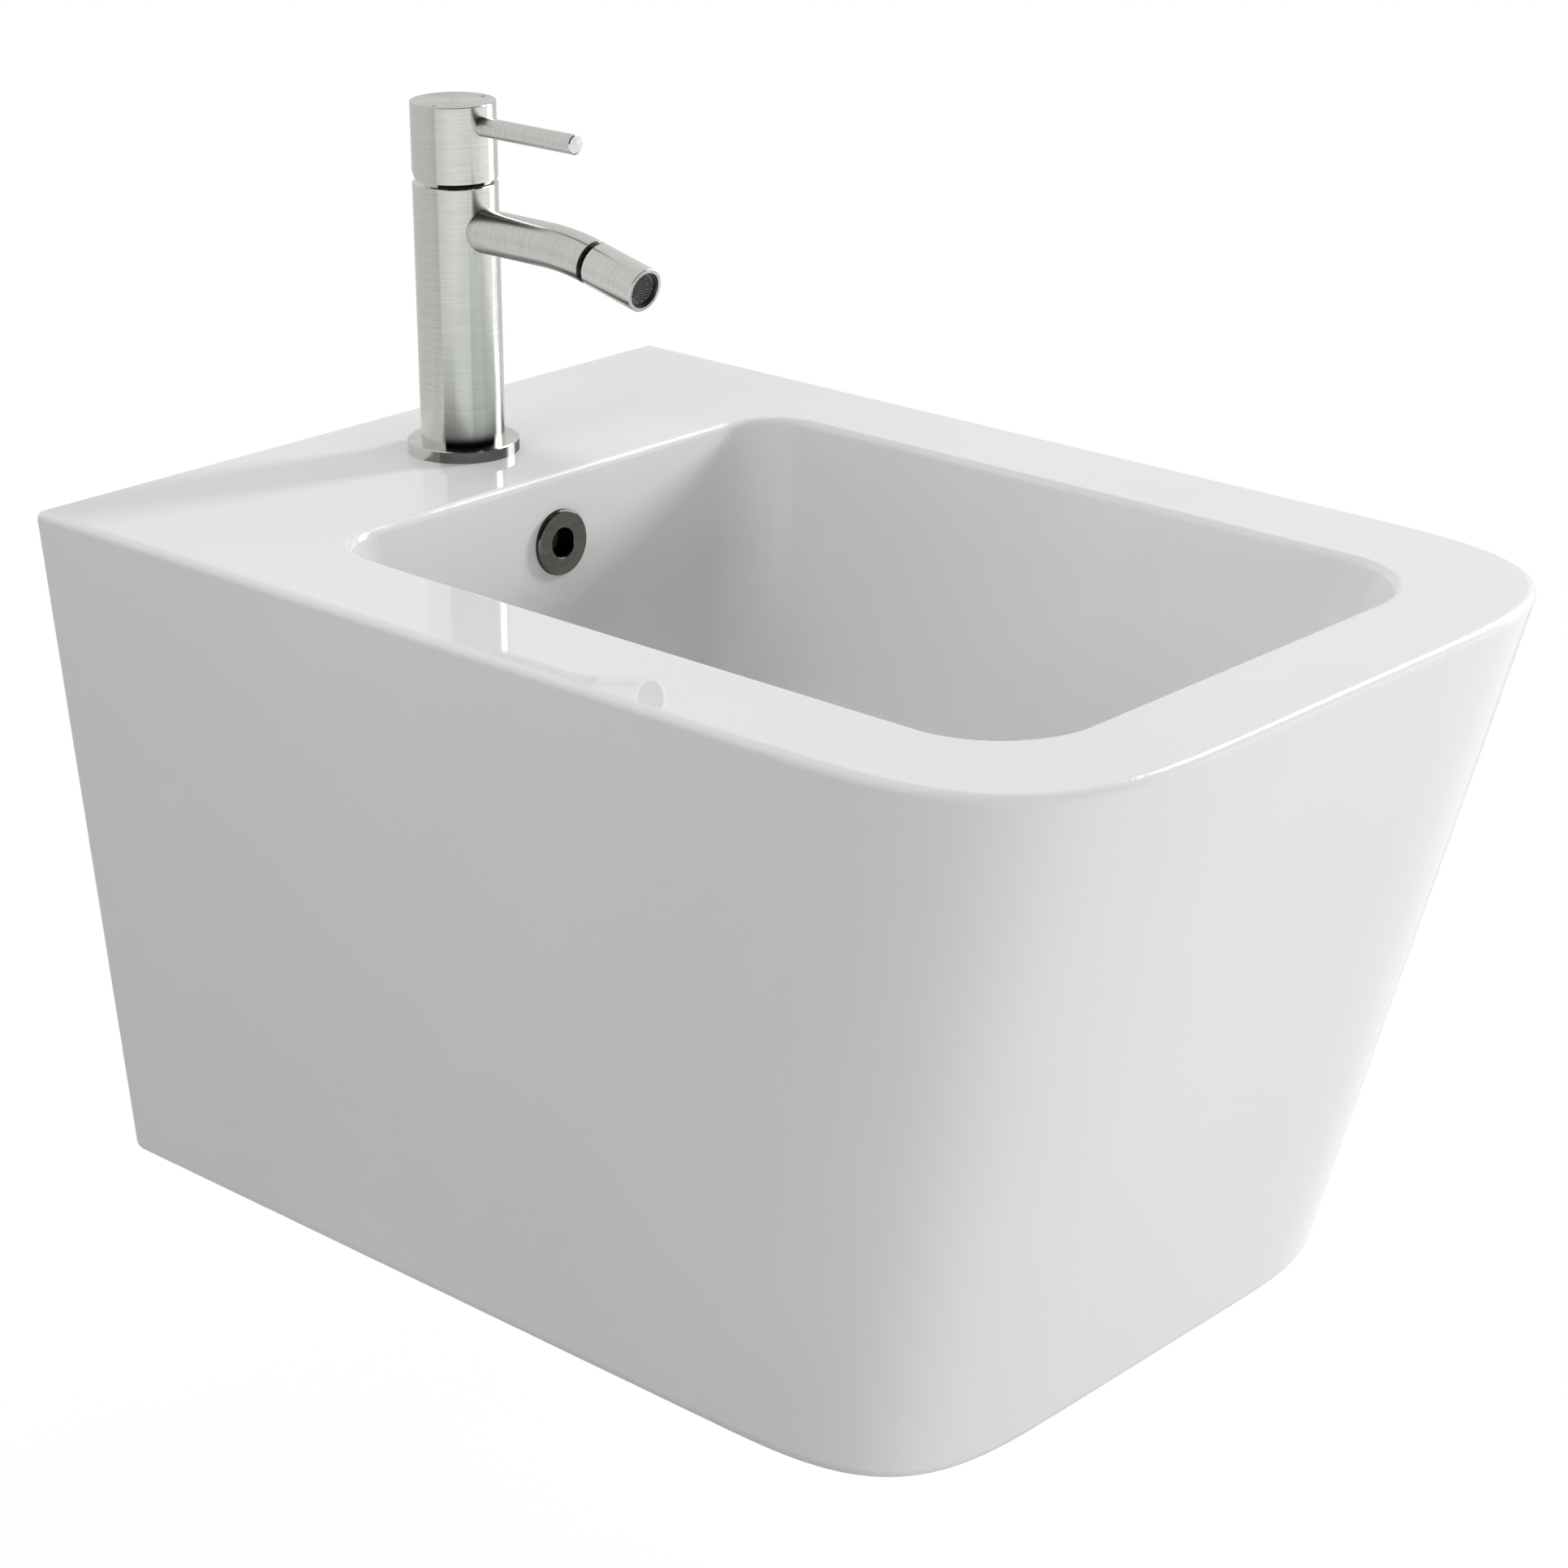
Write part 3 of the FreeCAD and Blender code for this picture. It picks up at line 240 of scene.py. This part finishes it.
# %% [markdown]
# The lamps. A small key lamp far round to the right throws the rim's shadow into the bowl. A broad low box
# lights the front of the skirt, and weaker ones on the left and overhead ease the shaded sides. Where the
# key stands, a tall box is there for the mirrors alone: it draws the white strip down the right edge of the
# tap and lights nothing else. The working lamps are kept out of the mirrors in return.

# %% Soft boxes
BOX_AWAY = 2.2
BASIN_HEART = (0.0, -0.24, 0.02)
LEFT_SIDE = (-0.15, -0.2, 0.0)


def soft_box(name, turn, rise, wide, high, watts, far=BOX_AWAY, aim=BASIN_HEART):
    lamp = bpy.data.lights.new(name, "AREA")
    lamp.shape = "RECTANGLE"
    lamp.size = wide
    lamp.size_y = high
    lamp.energy = watts
    box = bpy.data.objects.new(name, lamp)
    scene.collection.objects.link(box)
    a, e = math.radians(turn), math.radians(rise)
    away = Vector((math.sin(a) * math.cos(e), -math.cos(a) * math.cos(e), math.sin(e)))
    box.location = Vector(aim) + away * far
    box.rotation_euler = away.to_track_quat("Z", "Y").to_euler()
    print(name, "radiance", round(watts / (math.pi * wide * high), 2))
    return box


tall_box = soft_box("tall_soft_box", turn=76.0, rise=25.0, wide=1.0, high=2.3, watts=30.0)
tall_box.visible_diffuse = False
working_lamps = (
    soft_box("key_soft_box", turn=76.0, rise=20.0, wide=0.35, high=0.5, watts=39.0),
    soft_box("front_soft_box", turn=2.0, rise=0.0, wide=2.0, high=0.8, watts=28.0),
    soft_box("left_soft_box", turn=-70.0, rise=8.0, wide=1.0, high=1.0, watts=5.5),
    soft_box("over_soft_box", turn=0.0, rise=88.0, wide=0.8, high=0.8, watts=11.5),
    soft_box("side_soft_box", turn=-100.0, rise=45.0, wide=0.5, high=0.5, watts=2.5, far=1.0, aim=LEFT_SIDE),
)
for box in working_lamps:
    box.visible_glossy = False


# %% [markdown]
# Brushed metal is only as good as what stands round it to be mirrored. A ring of studio cards with a lid
# encloses the scene. It is a cylinder without its bottom, gives no light to the room and hides from the
# camera.

# %% Ring of cards
CARD_RADIUS, CARD_HEIGHT, CARD_LIFT = 2.7, 3.2, 0.02
CARD_COUNT = 96
FACING_DOWN = -0.9


def pick_faces(thing, test):
    bpy.ops.object.mode_set(mode="EDIT")
    bpy.ops.mesh.select_mode(type="FACE")
    bpy.ops.mesh.select_all(action="DESELECT")
    bpy.ops.object.mode_set(mode="OBJECT")
    for face in thing.data.polygons:
        face.select = test(face)
    bpy.ops.object.mode_set(mode="EDIT")


deselect_all()
card_middle_z = FLOOR_Z + CARD_LIFT + CARD_HEIGHT / 2.0
bpy.ops.mesh.primitive_cylinder_add(vertices=CARD_COUNT, radius=CARD_RADIUS, depth=CARD_HEIGHT,
                                    end_fill_type="NGON", location=(0.0, 0.0, card_middle_z))
cards = bpy.context.object
cards.name = "studio_cards"
bpy.ops.object.transform_apply(location=True, rotation=True, scale=True)
pick_faces(cards, lambda face: face.normal.z < FACING_DOWN)
bpy.ops.mesh.delete(type="FACE")
bpy.ops.object.mode_set(mode="OBJECT")
cards.visible_camera = False
cards.visible_diffuse = False
cards.visible_shadow = False
cards.visible_transmission = False
print("cards", len(cards.data.polygons))


# %% [markdown]
# The tones of the cards go round the ring: 0 is the left of the basin, 0.25 the front, 0.5 the right and
# 0.75 the wall. Low down, the metal sees them get brighter from the left of the camera to the right. Higher
# up the front is dark, as an empty room behind the camera is, and the back is as pale as a tiled wall.

# %% Tones of the cards
LOW_TONES = [(0.0, 0.74), (0.045, 0.82), (0.10, 0.96), (0.19, 1.0), (0.26, 1.0), (0.37, 1.06), (0.42, 1.06),
             (0.49, 0.72), (0.62, 0.66), (0.93, 0.62), (0.992, 0.52), (0.994, 0.70)]
HIGH_TONES = [(0.0, 0.02), (0.40, 0.02), (0.47, 0.40), (0.49, 0.74), (0.62, 0.70), (0.992, 0.68),
              (0.994, 0.02)]
LOW_TO_Z, HIGH_FROM_Z = 0.30, 0.75


def toned(tree, factor, stops, how="EASE"):
    ramp = node_in(tree, "ShaderNodeValToRGB")
    ramp.color_ramp.interpolation = how
    keys = ramp.color_ramp.elements
    while len(keys) < len(stops):
        keys.new(0.5)
    for key, (place, tone) in zip(keys, stops):
        key.position = place
        key.color = (tone, tone, tone, 1.0) if isinstance(tone, float) else tuple(tone) + (1.0,)
    tree.links.new(factor, ramp.inputs["Fac"])
    return ramp.outputs["Color"]


def mixed(tree, factor, a, b, kind="RGBA"):
    mix = node_in(tree, "ShaderNodeMix", data_type=kind)
    tree.links.new(factor, mix.inputs["Factor"])
    for socket, value in ((mix.inputs["A"], a), (mix.inputs["B"], b)):
        if isinstance(value, bpy.types.NodeSocket):
            tree.links.new(value, socket)
        else:
            socket.default_value = value
    return mix.outputs["Result"]


card_tone, tree = new_material("card_tone")
where = node_in(tree, "ShaderNodeTexCoord").outputs["Object"]
turn = node_in(tree, "ShaderNodeTexGradient", gradient_type="RADIAL")
tree.links.new(where, turn.inputs["Vector"])
rise = spread(tree, place_in(tree, where, "Z"), LOW_TO_Z, HIGH_FROM_Z, how="SMOOTHSTEP")
low_ring = toned(tree, turn.outputs["Fac"], LOW_TONES, "LINEAR")
high_ring = toned(tree, turn.outputs["Fac"], HIGH_TONES, "LINEAR")
card_glow = node_in(tree, "ShaderNodeEmission")
out = node_in(tree, "ShaderNodeOutputMaterial")
tree.links.new(mixed(tree, rise, low_ring, high_ring), card_glow.inputs["Color"])
tree.links.new(card_glow.outputs[0], out.inputs["Surface"])
card_tone.cycles.emission_sampling = "NONE"
cards.data.materials.append(card_tone)
print("card tones", len(LOW_TONES), "low,", len(HIGH_TONES), "high")


# %% [markdown]
# The glaze. Vitreous china is a white clay body under a thick clear glass. Its colour is an even white
# with the least trace of green, and nearly all that shows is gloss. The foot and the wall face stood on the
# kiln shelf, so there the clay is bare and dull. Close in front of the tap the china is painted almost black
# for mirror rays alone, a painted dark reflection, so that the tap's foot keeps dark edges to be read by.

# %% Colour of the china
CHINA_LOW, CHINA_HIGH = (0.745, 0.752, 0.745), (0.772, 0.780, 0.772)
CLAY_LOW, CLAY_HIGH = (0.66, 0.645, 0.61), (0.74, 0.73, 0.70)
MIRRORED_SHADE = (0.01, 0.01, 0.01, 1.0)
TAP_LOW, TAP_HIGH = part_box("tap_body")
TAP_FOOT = Vector((0.0, (TAP_LOW[1] + TAP_HIGH[1]) / 2.0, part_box("tap_base_ring")[0][2]))
DARK_TO, LIGHT_FROM = 0.045, 0.120
BARE_EDGE = 0.0002
CLOUD_SCALE, GROG_SCALE = 5.0, 900.0


def noise_in(tree, vector, scale, detail=2.0, rough=0.5):
    noise = node_in(tree, "ShaderNodeTexNoise")
    noise.inputs["Scale"].default_value = scale
    noise.inputs["Detail"].default_value = detail
    noise.inputs["Roughness"].default_value = rough
    tree.links.new(vector, noise.inputs["Vector"])
    return noise.outputs["Fac"]


def two_tones(tree, factor, low, high, reach=0.20):
    return toned(tree, factor, [(0.5 - reach, low), (0.5 + reach, high)])


def finish_start(name, metallic=0.0, ior=1.5):
    material, tree = new_material(name)
    shader = node_in(tree, "ShaderNodeBsdfPrincipled")
    out = node_in(tree, "ShaderNodeOutputMaterial")
    tree.links.new(shader.outputs[0], out.inputs["Surface"])
    shader.inputs["Metallic"].default_value = metallic
    shader.inputs["IOR"].default_value = ior
    where = node_in(tree, "ShaderNodeTexCoord").outputs["Object"]
    return material, tree, shader, where


glazed_china, tree, shader, where = finish_start("glazed_china", ior=1.52)
china_low, china_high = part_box("ceramic_body")
clouds = noise_in(tree, where, CLOUD_SCALE, detail=3.0)
grog = noise_in(tree, where, GROG_SCALE, detail=4.0, rough=0.7)
on_shelf = math_in(tree, "LESS_THAN", place_in(tree, where, "Z"), china_low[2] + BARE_EDGE)
on_wall = math_in(tree, "GREATER_THAN", place_in(tree, where, "Y"), china_high[1] - BARE_EDGE)
bare = math_in(tree, "MAXIMUM", on_shelf, on_wall)
# Painted dark reflection: in front of the tap's foot, mirror rays see the china almost black.
close_by = spread(tree, vector_in(tree, "DISTANCE", where, TAP_FOOT), LIGHT_FROM, DARK_TO)
before_tap = math_in(tree, "LESS_THAN", place_in(tree, where, "Y"), TAP_FOOT[1])
in_mirror = node_in(tree, "ShaderNodeLightPath").outputs["Is Glossy Ray"]
painted_dark_reflection = math_in(tree, "MULTIPLY", math_in(tree, "MULTIPLY", in_mirror, before_tap), close_by)
glaze = mixed(tree, painted_dark_reflection, two_tones(tree, clouds, CHINA_LOW, CHINA_HIGH), MIRRORED_SHADE)
clay = two_tones(tree, grog, CLAY_LOW, CLAY_HIGH)
tree.links.new(mixed(tree, bare, glaze, clay), shader.inputs["Base Color"])
print("china coloured, bare clay under z", china_low[2], "and on the wall face")


# %% [markdown]
# Fired glass is never quite flat. A slow swell bends what it mirrors, and a fine pitting like the skin of an
# orange softens it. Both are too shallow to model, so two Bump nodes tilt the surface instead.

# %% Gloss of the china
GLAZE_ROUGH, CLAY_ROUGH = (0.02, 0.045), (0.75, 0.90)
SWELL_SCALE, PIT_SCALE = 14.0, 420.0


def bump_in(tree, height, strength, distance, under=None):
    bump = node_in(tree, "ShaderNodeBump")
    bump.inputs["Strength"].default_value = strength
    bump.inputs["Distance"].default_value = distance
    tree.links.new(height, bump.inputs["Height"])
    if under is not None:
        tree.links.new(under, bump.inputs["Normal"])
    return bump.outputs["Normal"]


gloss = two_tones(tree, clouds, *GLAZE_ROUGH)
dull = two_tones(tree, grog, *CLAY_ROUGH)
tree.links.new(mixed(tree, bare, gloss, dull), shader.inputs["Roughness"])
swell = bump_in(tree, noise_in(tree, where, SWELL_SCALE, detail=1.0), strength=0.02, distance=0.0004)
pits = bump_in(tree, noise_in(tree, where, PIT_SCALE), strength=0.015, distance=0.0001, under=swell)
tree.links.new(pits, shader.inputs["Normal"])
print("china has", len(tree.nodes), "nodes")


# %% [markdown]
# The tap's skin is brushed nickel. Each tube was turned against a fine belt, so the scratches run round
# it. They scatter light along the tube and leave it sharp round the tube, which the shader's anisotropy
# gives. The scratches themselves are noise drawn out to threads, narrow along the tube and long round it.
# One function makes the finish for a tube that points any way. It can also paint shade into a low band:
# the foot of the column and the gap under the handle on the front left side, and the undersides of the
# lever and the spout, are painted darker, standing in for the shade that a real tap mirrors there.

# %% Brushed finish
NICKEL_LOW, NICKEL_HIGH = (0.63, 0.65, 0.61), (0.76, 0.78, 0.74)
NICKEL_GRAIN = 4400.0
SCRATCH_STRETCH = (0.012, 0.012, 1.0)
BAND_SHARE = 0.12
BRUSHED_ROUGH = (0.155, 0.175)
# The side, front left, on which shade is painted at the column's foot and in the handle's gap.
PAINTED_SHADE_SIDE = Vector((-0.534, -0.845, 0.0))


def painted_shade(tree, colour, where, spoke, dark_z, clear_z, reach, tone):
    """Painted shade: darkest below dark_z and clear from clear_z up, where the skin lies past reach towards
    the side where the shade is painted.
    """
    in_front = math_in(tree, "GREATER_THAN", vector_in(tree, "DOT_PRODUCT", spoke, PAINTED_SHADE_SIDE), reach)
    under = spread(tree, place_in(tree, where, "Z"), clear_z, dark_z, how="SMOOTHSTEP")
    return mixed(tree, math_in(tree, "MULTIPLY", under, in_front), colour, (tone, tone, tone, 1.0))


def brushed(name, along, through, low=NICKEL_LOW, high=NICKEL_HIGH, grain=NICKEL_GRAIN, shade_band=None):
    material, tree, shader, where = finish_start(name, metallic=1.0)
    along = Vector(along).normalized()
    turned = node_in(tree, "ShaderNodeMapping")
    turned.inputs["Rotation"].default_value = along.to_track_quat("Z", "Y").inverted().to_euler()
    tree.links.new(where, turned.inputs["Vector"])
    drawn = node_in(tree, "ShaderNodeMapping")
    drawn.inputs["Scale"].default_value = SCRATCH_STRETCH
    tree.links.new(turned.outputs[0], drawn.inputs["Vector"])
    scratch = noise_in(tree, drawn.outputs[0], grain, detail=3.0, rough=0.65)
    bands = noise_in(tree, drawn.outputs[0], grain * BAND_SHARE)
    colour = two_tones(tree, scratch, low, high, reach=0.22)
    spoke = vector_in(tree, "SUBTRACT", where, through)
    if shade_band is not None:
        colour = painted_shade(tree, colour, where, spoke, **shade_band)
    tree.links.new(colour, shader.inputs["Base Color"])
    tree.links.new(two_tones(tree, bands, *BRUSHED_ROUGH, reach=0.25), shader.inputs["Roughness"])
    shader.inputs["Anisotropic"].default_value = 1.0
    facing = node_in(tree, "ShaderNodeNewGeometry").outputs["True Normal"]
    on_end = math_in(tree, "ABSOLUTE", vector_in(tree, "DOT_PRODUCT", facing, along))
    tree.links.new(mixed(tree, on_end, along, spoke, "VECTOR"), shader.inputs["Tangent"])
    tree.links.new(bump_in(tree, scratch, strength=0.02, distance=0.00002), shader.inputs["Normal"])
    return material


brushed_upright = brushed("brushed_nickel_upright", (0, 0, 1), TAP_FOOT)
print("brushed finish has", len(brushed_upright.node_tree.nodes), "nodes")


# %% [markdown]
# Each tube of the tap gets its own copy of the finish, with the grain turned to its axis. Most places come
# from the solids and from the nozzle's joint, so they follow when the tap changes. The lying tubes mirror
# duller cards than the column does, so their nickel is painted a little paler to match it, a painted light.
# The overflow ring in the bowl is the same metal, darkened.

# %% Brushed pieces
# Painted light: the lever and the spout get a paler nickel to make up for the duller cards they mirror.
LIT_LYING_LOW, LIT_LYING_HIGH = (0.67, 0.69, 0.65), (0.81, 0.83, 0.79)
NOZZLE_LOW, NOZZLE_HIGH = (0.72, 0.74, 0.70), (0.86, 0.88, 0.84)
DARK_LOW, DARK_HIGH = (0.14, 0.147, 0.13), (0.185, 0.192, 0.172)
SPOUT_RADIUS, SPOUT_ALONG = 0.00925, (0, -1, -0.05)
OVERFLOW_PLACE, OVERFLOW_OUT = (0.0, -0.121, 0.0653), (0, -0.987, 0.158)
HANDLE_GAP = 0.002
ALL_ROUND = -1.0

joints = {row["name"]: row for row in frame["record"]["behaviour"]["joints"]}
ball = Vector(joints["nozzle_swing"]["pos_m"])
nozzle_out = Vector((1.0, 0.0, 0.0)).cross(Vector(joints["nozzle_swing"]["axis"]))
lever_z = sum(corner[2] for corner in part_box("lever")) / 2.0
spout_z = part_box("spout")[1][2] - SPOUT_RADIUS
handle_low = TAP_HIGH[2] + HANDLE_GAP
ring_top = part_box("tap_base_ring")[1][2]
# Painted shade: darker nickel at the column's foot and in the gap under the handle on the front left, and
# along the undersides of the lever and the spout.
column_foot_shade = dict(dark_z=ring_top + 0.0015, clear_z=ring_top + 0.0060, reach=0.0146, tone=0.01)
handle_gap_shade = dict(dark_z=handle_low - 0.0002, clear_z=handle_low - 0.0001, reach=0.0131, tone=0.01)
lever_underside_shade = dict(dark_z=lever_z - 0.0042, clear_z=lever_z - 0.0026, reach=ALL_ROUND, tone=0.20)
spout_underside_shade = dict(dark_z=spout_z - 0.0080, clear_z=spout_z - 0.0050, reach=ALL_ROUND, tone=0.12)
brushed_column = brushed("brushed_nickel_column", (0, 0, 1), TAP_FOOT, shade_band=column_foot_shade)
brushed_handle = brushed("brushed_nickel_handle", (0, 0, 1), TAP_FOOT, shade_band=handle_gap_shade)
brushed_lever = brushed("brushed_nickel_lever", (0, -1, 0), (0.0, 0.0, lever_z), LIT_LYING_LOW, LIT_LYING_HIGH,
                        shade_band=lever_underside_shade)
brushed_spout = brushed("brushed_nickel_spout", SPOUT_ALONG, (0.0, ball[1], spout_z), LIT_LYING_LOW, LIT_LYING_HIGH,
                        shade_band=spout_underside_shade)
brushed_nozzle = brushed("brushed_nickel_nozzle", nozzle_out, ball, NOZZLE_LOW, NOZZLE_HIGH)
dark_nickel = brushed("dark_nickel", OVERFLOW_OUT, OVERFLOW_PLACE, DARK_LOW, DARK_HIGH)
print("brushed pieces ready, nozzle points", tuple(nozzle_out))


# %% [markdown]
# The fittings that only a fitter sees get plain workshop finishes. Zinc plate has a faint crystal
# mottle. Turned brass keeps the rings of the lathe. Rubber is dull with a bloom on it, and moulded
# plastic has a fine spark-eroded grain. The red and blue marks are enamel with hardly any shine.

# %% Workshop finishes
GRAIN_FINER, GRAIN_STRENGTH, GRAIN_DEPTH = 7.0, 0.15, 0.00005


def workshop(name, low, high, rough, scale, metallic=0.0, ior=1.48):
    material, tree, shader, where = finish_start(name, metallic, ior)
    mottle = noise_in(tree, where, scale, detail=4.0, rough=0.6)
    fine = noise_in(tree, where, scale * GRAIN_FINER)
    tree.links.new(two_tones(tree, mottle, low, high), shader.inputs["Base Color"])
    tree.links.new(two_tones(tree, mottle, *rough), shader.inputs["Roughness"])
    tree.links.new(bump_in(tree, fine, GRAIN_STRENGTH, GRAIN_DEPTH), shader.inputs["Normal"])
    return material


finishes = {
    "glazed_china": glazed_china,
    "brushed_nickel": brushed_upright,
    "dark_nickel": dark_nickel,
    "zinc_steel": workshop("zinc_steel", (0.50, 0.52, 0.54), (0.62, 0.63, 0.65),
                           rough=(0.28, 0.45), scale=180.0, metallic=1.0),
    "brass": brushed("turned_brass", (0, 0, 1), TAP_FOOT, (0.62, 0.46, 0.20), (0.72, 0.56, 0.28),
                     grain=1500.0),
    "black_rubber": workshop("black_rubber", (0.018, 0.018, 0.019), (0.035, 0.035, 0.036),
                             rough=(0.55, 0.75), scale=240.0),
    "white_plastic": workshop("white_plastic", (0.76, 0.765, 0.75), (0.81, 0.81, 0.79),
                              rough=(0.35, 0.5), scale=300.0),
    "grey_plastic": workshop("grey_plastic", (0.20, 0.21, 0.21), (0.25, 0.26, 0.26),
                             rough=(0.4, 0.55), scale=300.0),
    "alumina": workshop("lapped_alumina", (0.80, 0.79, 0.75), (0.85, 0.84, 0.80),
                        rough=(0.15, 0.25), scale=400.0),
    "red_enamel": workshop("red_enamel", (0.76, 0.012, 0.010), (0.82, 0.02, 0.016),
                           rough=(0.4, 0.5), scale=500.0, ior=1.05),
    "blue_enamel": workshop("blue_enamel", (0.008, 0.010, 0.66), (0.014, 0.018, 0.74),
                            rough=(0.4, 0.5), scale=500.0, ior=1.05),
}
black_plastic = workshop("black_plastic", (0.010, 0.010, 0.011), (0.020, 0.020, 0.021),
                         rough=(0.25, 0.40), scale=300.0)
gauze = workshop("screen_gauze", (0.09, 0.093, 0.096), (0.17, 0.173, 0.176),
                 rough=(0.30, 0.45), scale=900.0, metallic=0.5)
print("finishes", len(finishes))


# %% [markdown]
# Which finish goes where. The record that comes with the solids names a finish for each piece, so most of
# them are given by that name. A few pieces of the tap have their own: each tube that lies another way has
# its own grain, and the screen in the nozzle and its housing are darker than what is round them.

# %% Finish on every solid
slot_of = {row["node"]: row["material_slot"] for row in frame["record"]["subparts"]}
special = {
    "spout": brushed_spout,
    "lever": brushed_lever,
    "nozzle_sleeve": brushed_nozzle,
    "tap_body": brushed_column,
    "handle_cap": brushed_handle,
    "aerator_housing": black_plastic,
    "aerator_screen": gauze,
}
for name, thing in nodes.items():
    thing.data.materials.clear()
    thing.data.materials.append(special.get(name, finishes[slot_of[name]]))
print("finished", len(nodes))


# %% [markdown]
# Screw threads. The solids show the tap's stud and the waste as plain rods, but below its nut each one has
# a thread that a fitter sees. A thread is a small triangle wound up a rod. The triangle is drawn once,
# upright beside the axis, the Screw modifier winds it, and the two open ends are filled. The modifier winds
# round the object's own origin, so the ridge is made at the middle of the scene and then shifted onto its
# rod.

# %% Screw threads
ROD_RADIUS = {"tap_stud": 0.0040, "waste_body": 0.0209}
RIDGE_SIZE, RIDGE_SINK, RIDGE_START = 0.52, 0.10, 0.6
TURN_STEPS = 40
SMOOTH_ANGLE = math.radians(35.0)
UPRIGHT = (Matrix.Rotation(math.pi / 2.0, 3, "X") @ Matrix.Rotation(-math.pi / 2.0, 3, "Z")).to_euler()


def thread(name, rod, nut, pitch):
    foot_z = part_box(rod)[0][2]
    nut_low, nut_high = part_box(nut)
    turns = int((nut_low[2] - foot_z) / pitch - 1.0)
    deselect_all()
    bpy.ops.mesh.primitive_circle_add(vertices=3, radius=pitch * RIDGE_SIZE, rotation=UPRIGHT,
                                      location=(ROD_RADIUS[rod] - pitch * RIDGE_SINK, 0.0, 0.0))
    ridge = bpy.context.object
    ridge.name = name
    bpy.ops.object.transform_apply(location=True, rotation=True, scale=True)
    wind = ridge.modifiers.new("wind", "SCREW")
    wind.axis = "Z"
    wind.screw_offset = pitch
    wind.iterations = turns
    wind.steps = TURN_STEPS
    wind.render_steps = TURN_STEPS
    bpy.ops.object.modifier_apply(modifier=wind.name)
    bpy.ops.object.mode_set(mode="EDIT")
    bpy.ops.mesh.select_all(action="SELECT")
    bpy.ops.mesh.fill_holes(sides=3)
    bpy.ops.mesh.select_all(action="SELECT")
    bpy.ops.mesh.normals_make_consistent(inside=False)
    bpy.ops.transform.translate(value=((nut_low[0] + nut_high[0]) / 2.0, (nut_low[1] + nut_high[1]) / 2.0,
                                       foot_z + RIDGE_START * pitch))
    bpy.ops.object.mode_set(mode="OBJECT")
    bpy.ops.object.shade_smooth_by_angle(angle=SMOOTH_ANGLE)
    ridge.data.materials.append(finishes[slot_of[rod]])
    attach(ridge, "basin")
    print(name, len(ridge.data.polygons), "faces,", turns, "turns")


thread("tap_stud_thread", "tap_stud", "tap_clamp_nut", pitch=0.00125)
thread("waste_body_thread", "waste_body", "waste_nut", pitch=0.0023)
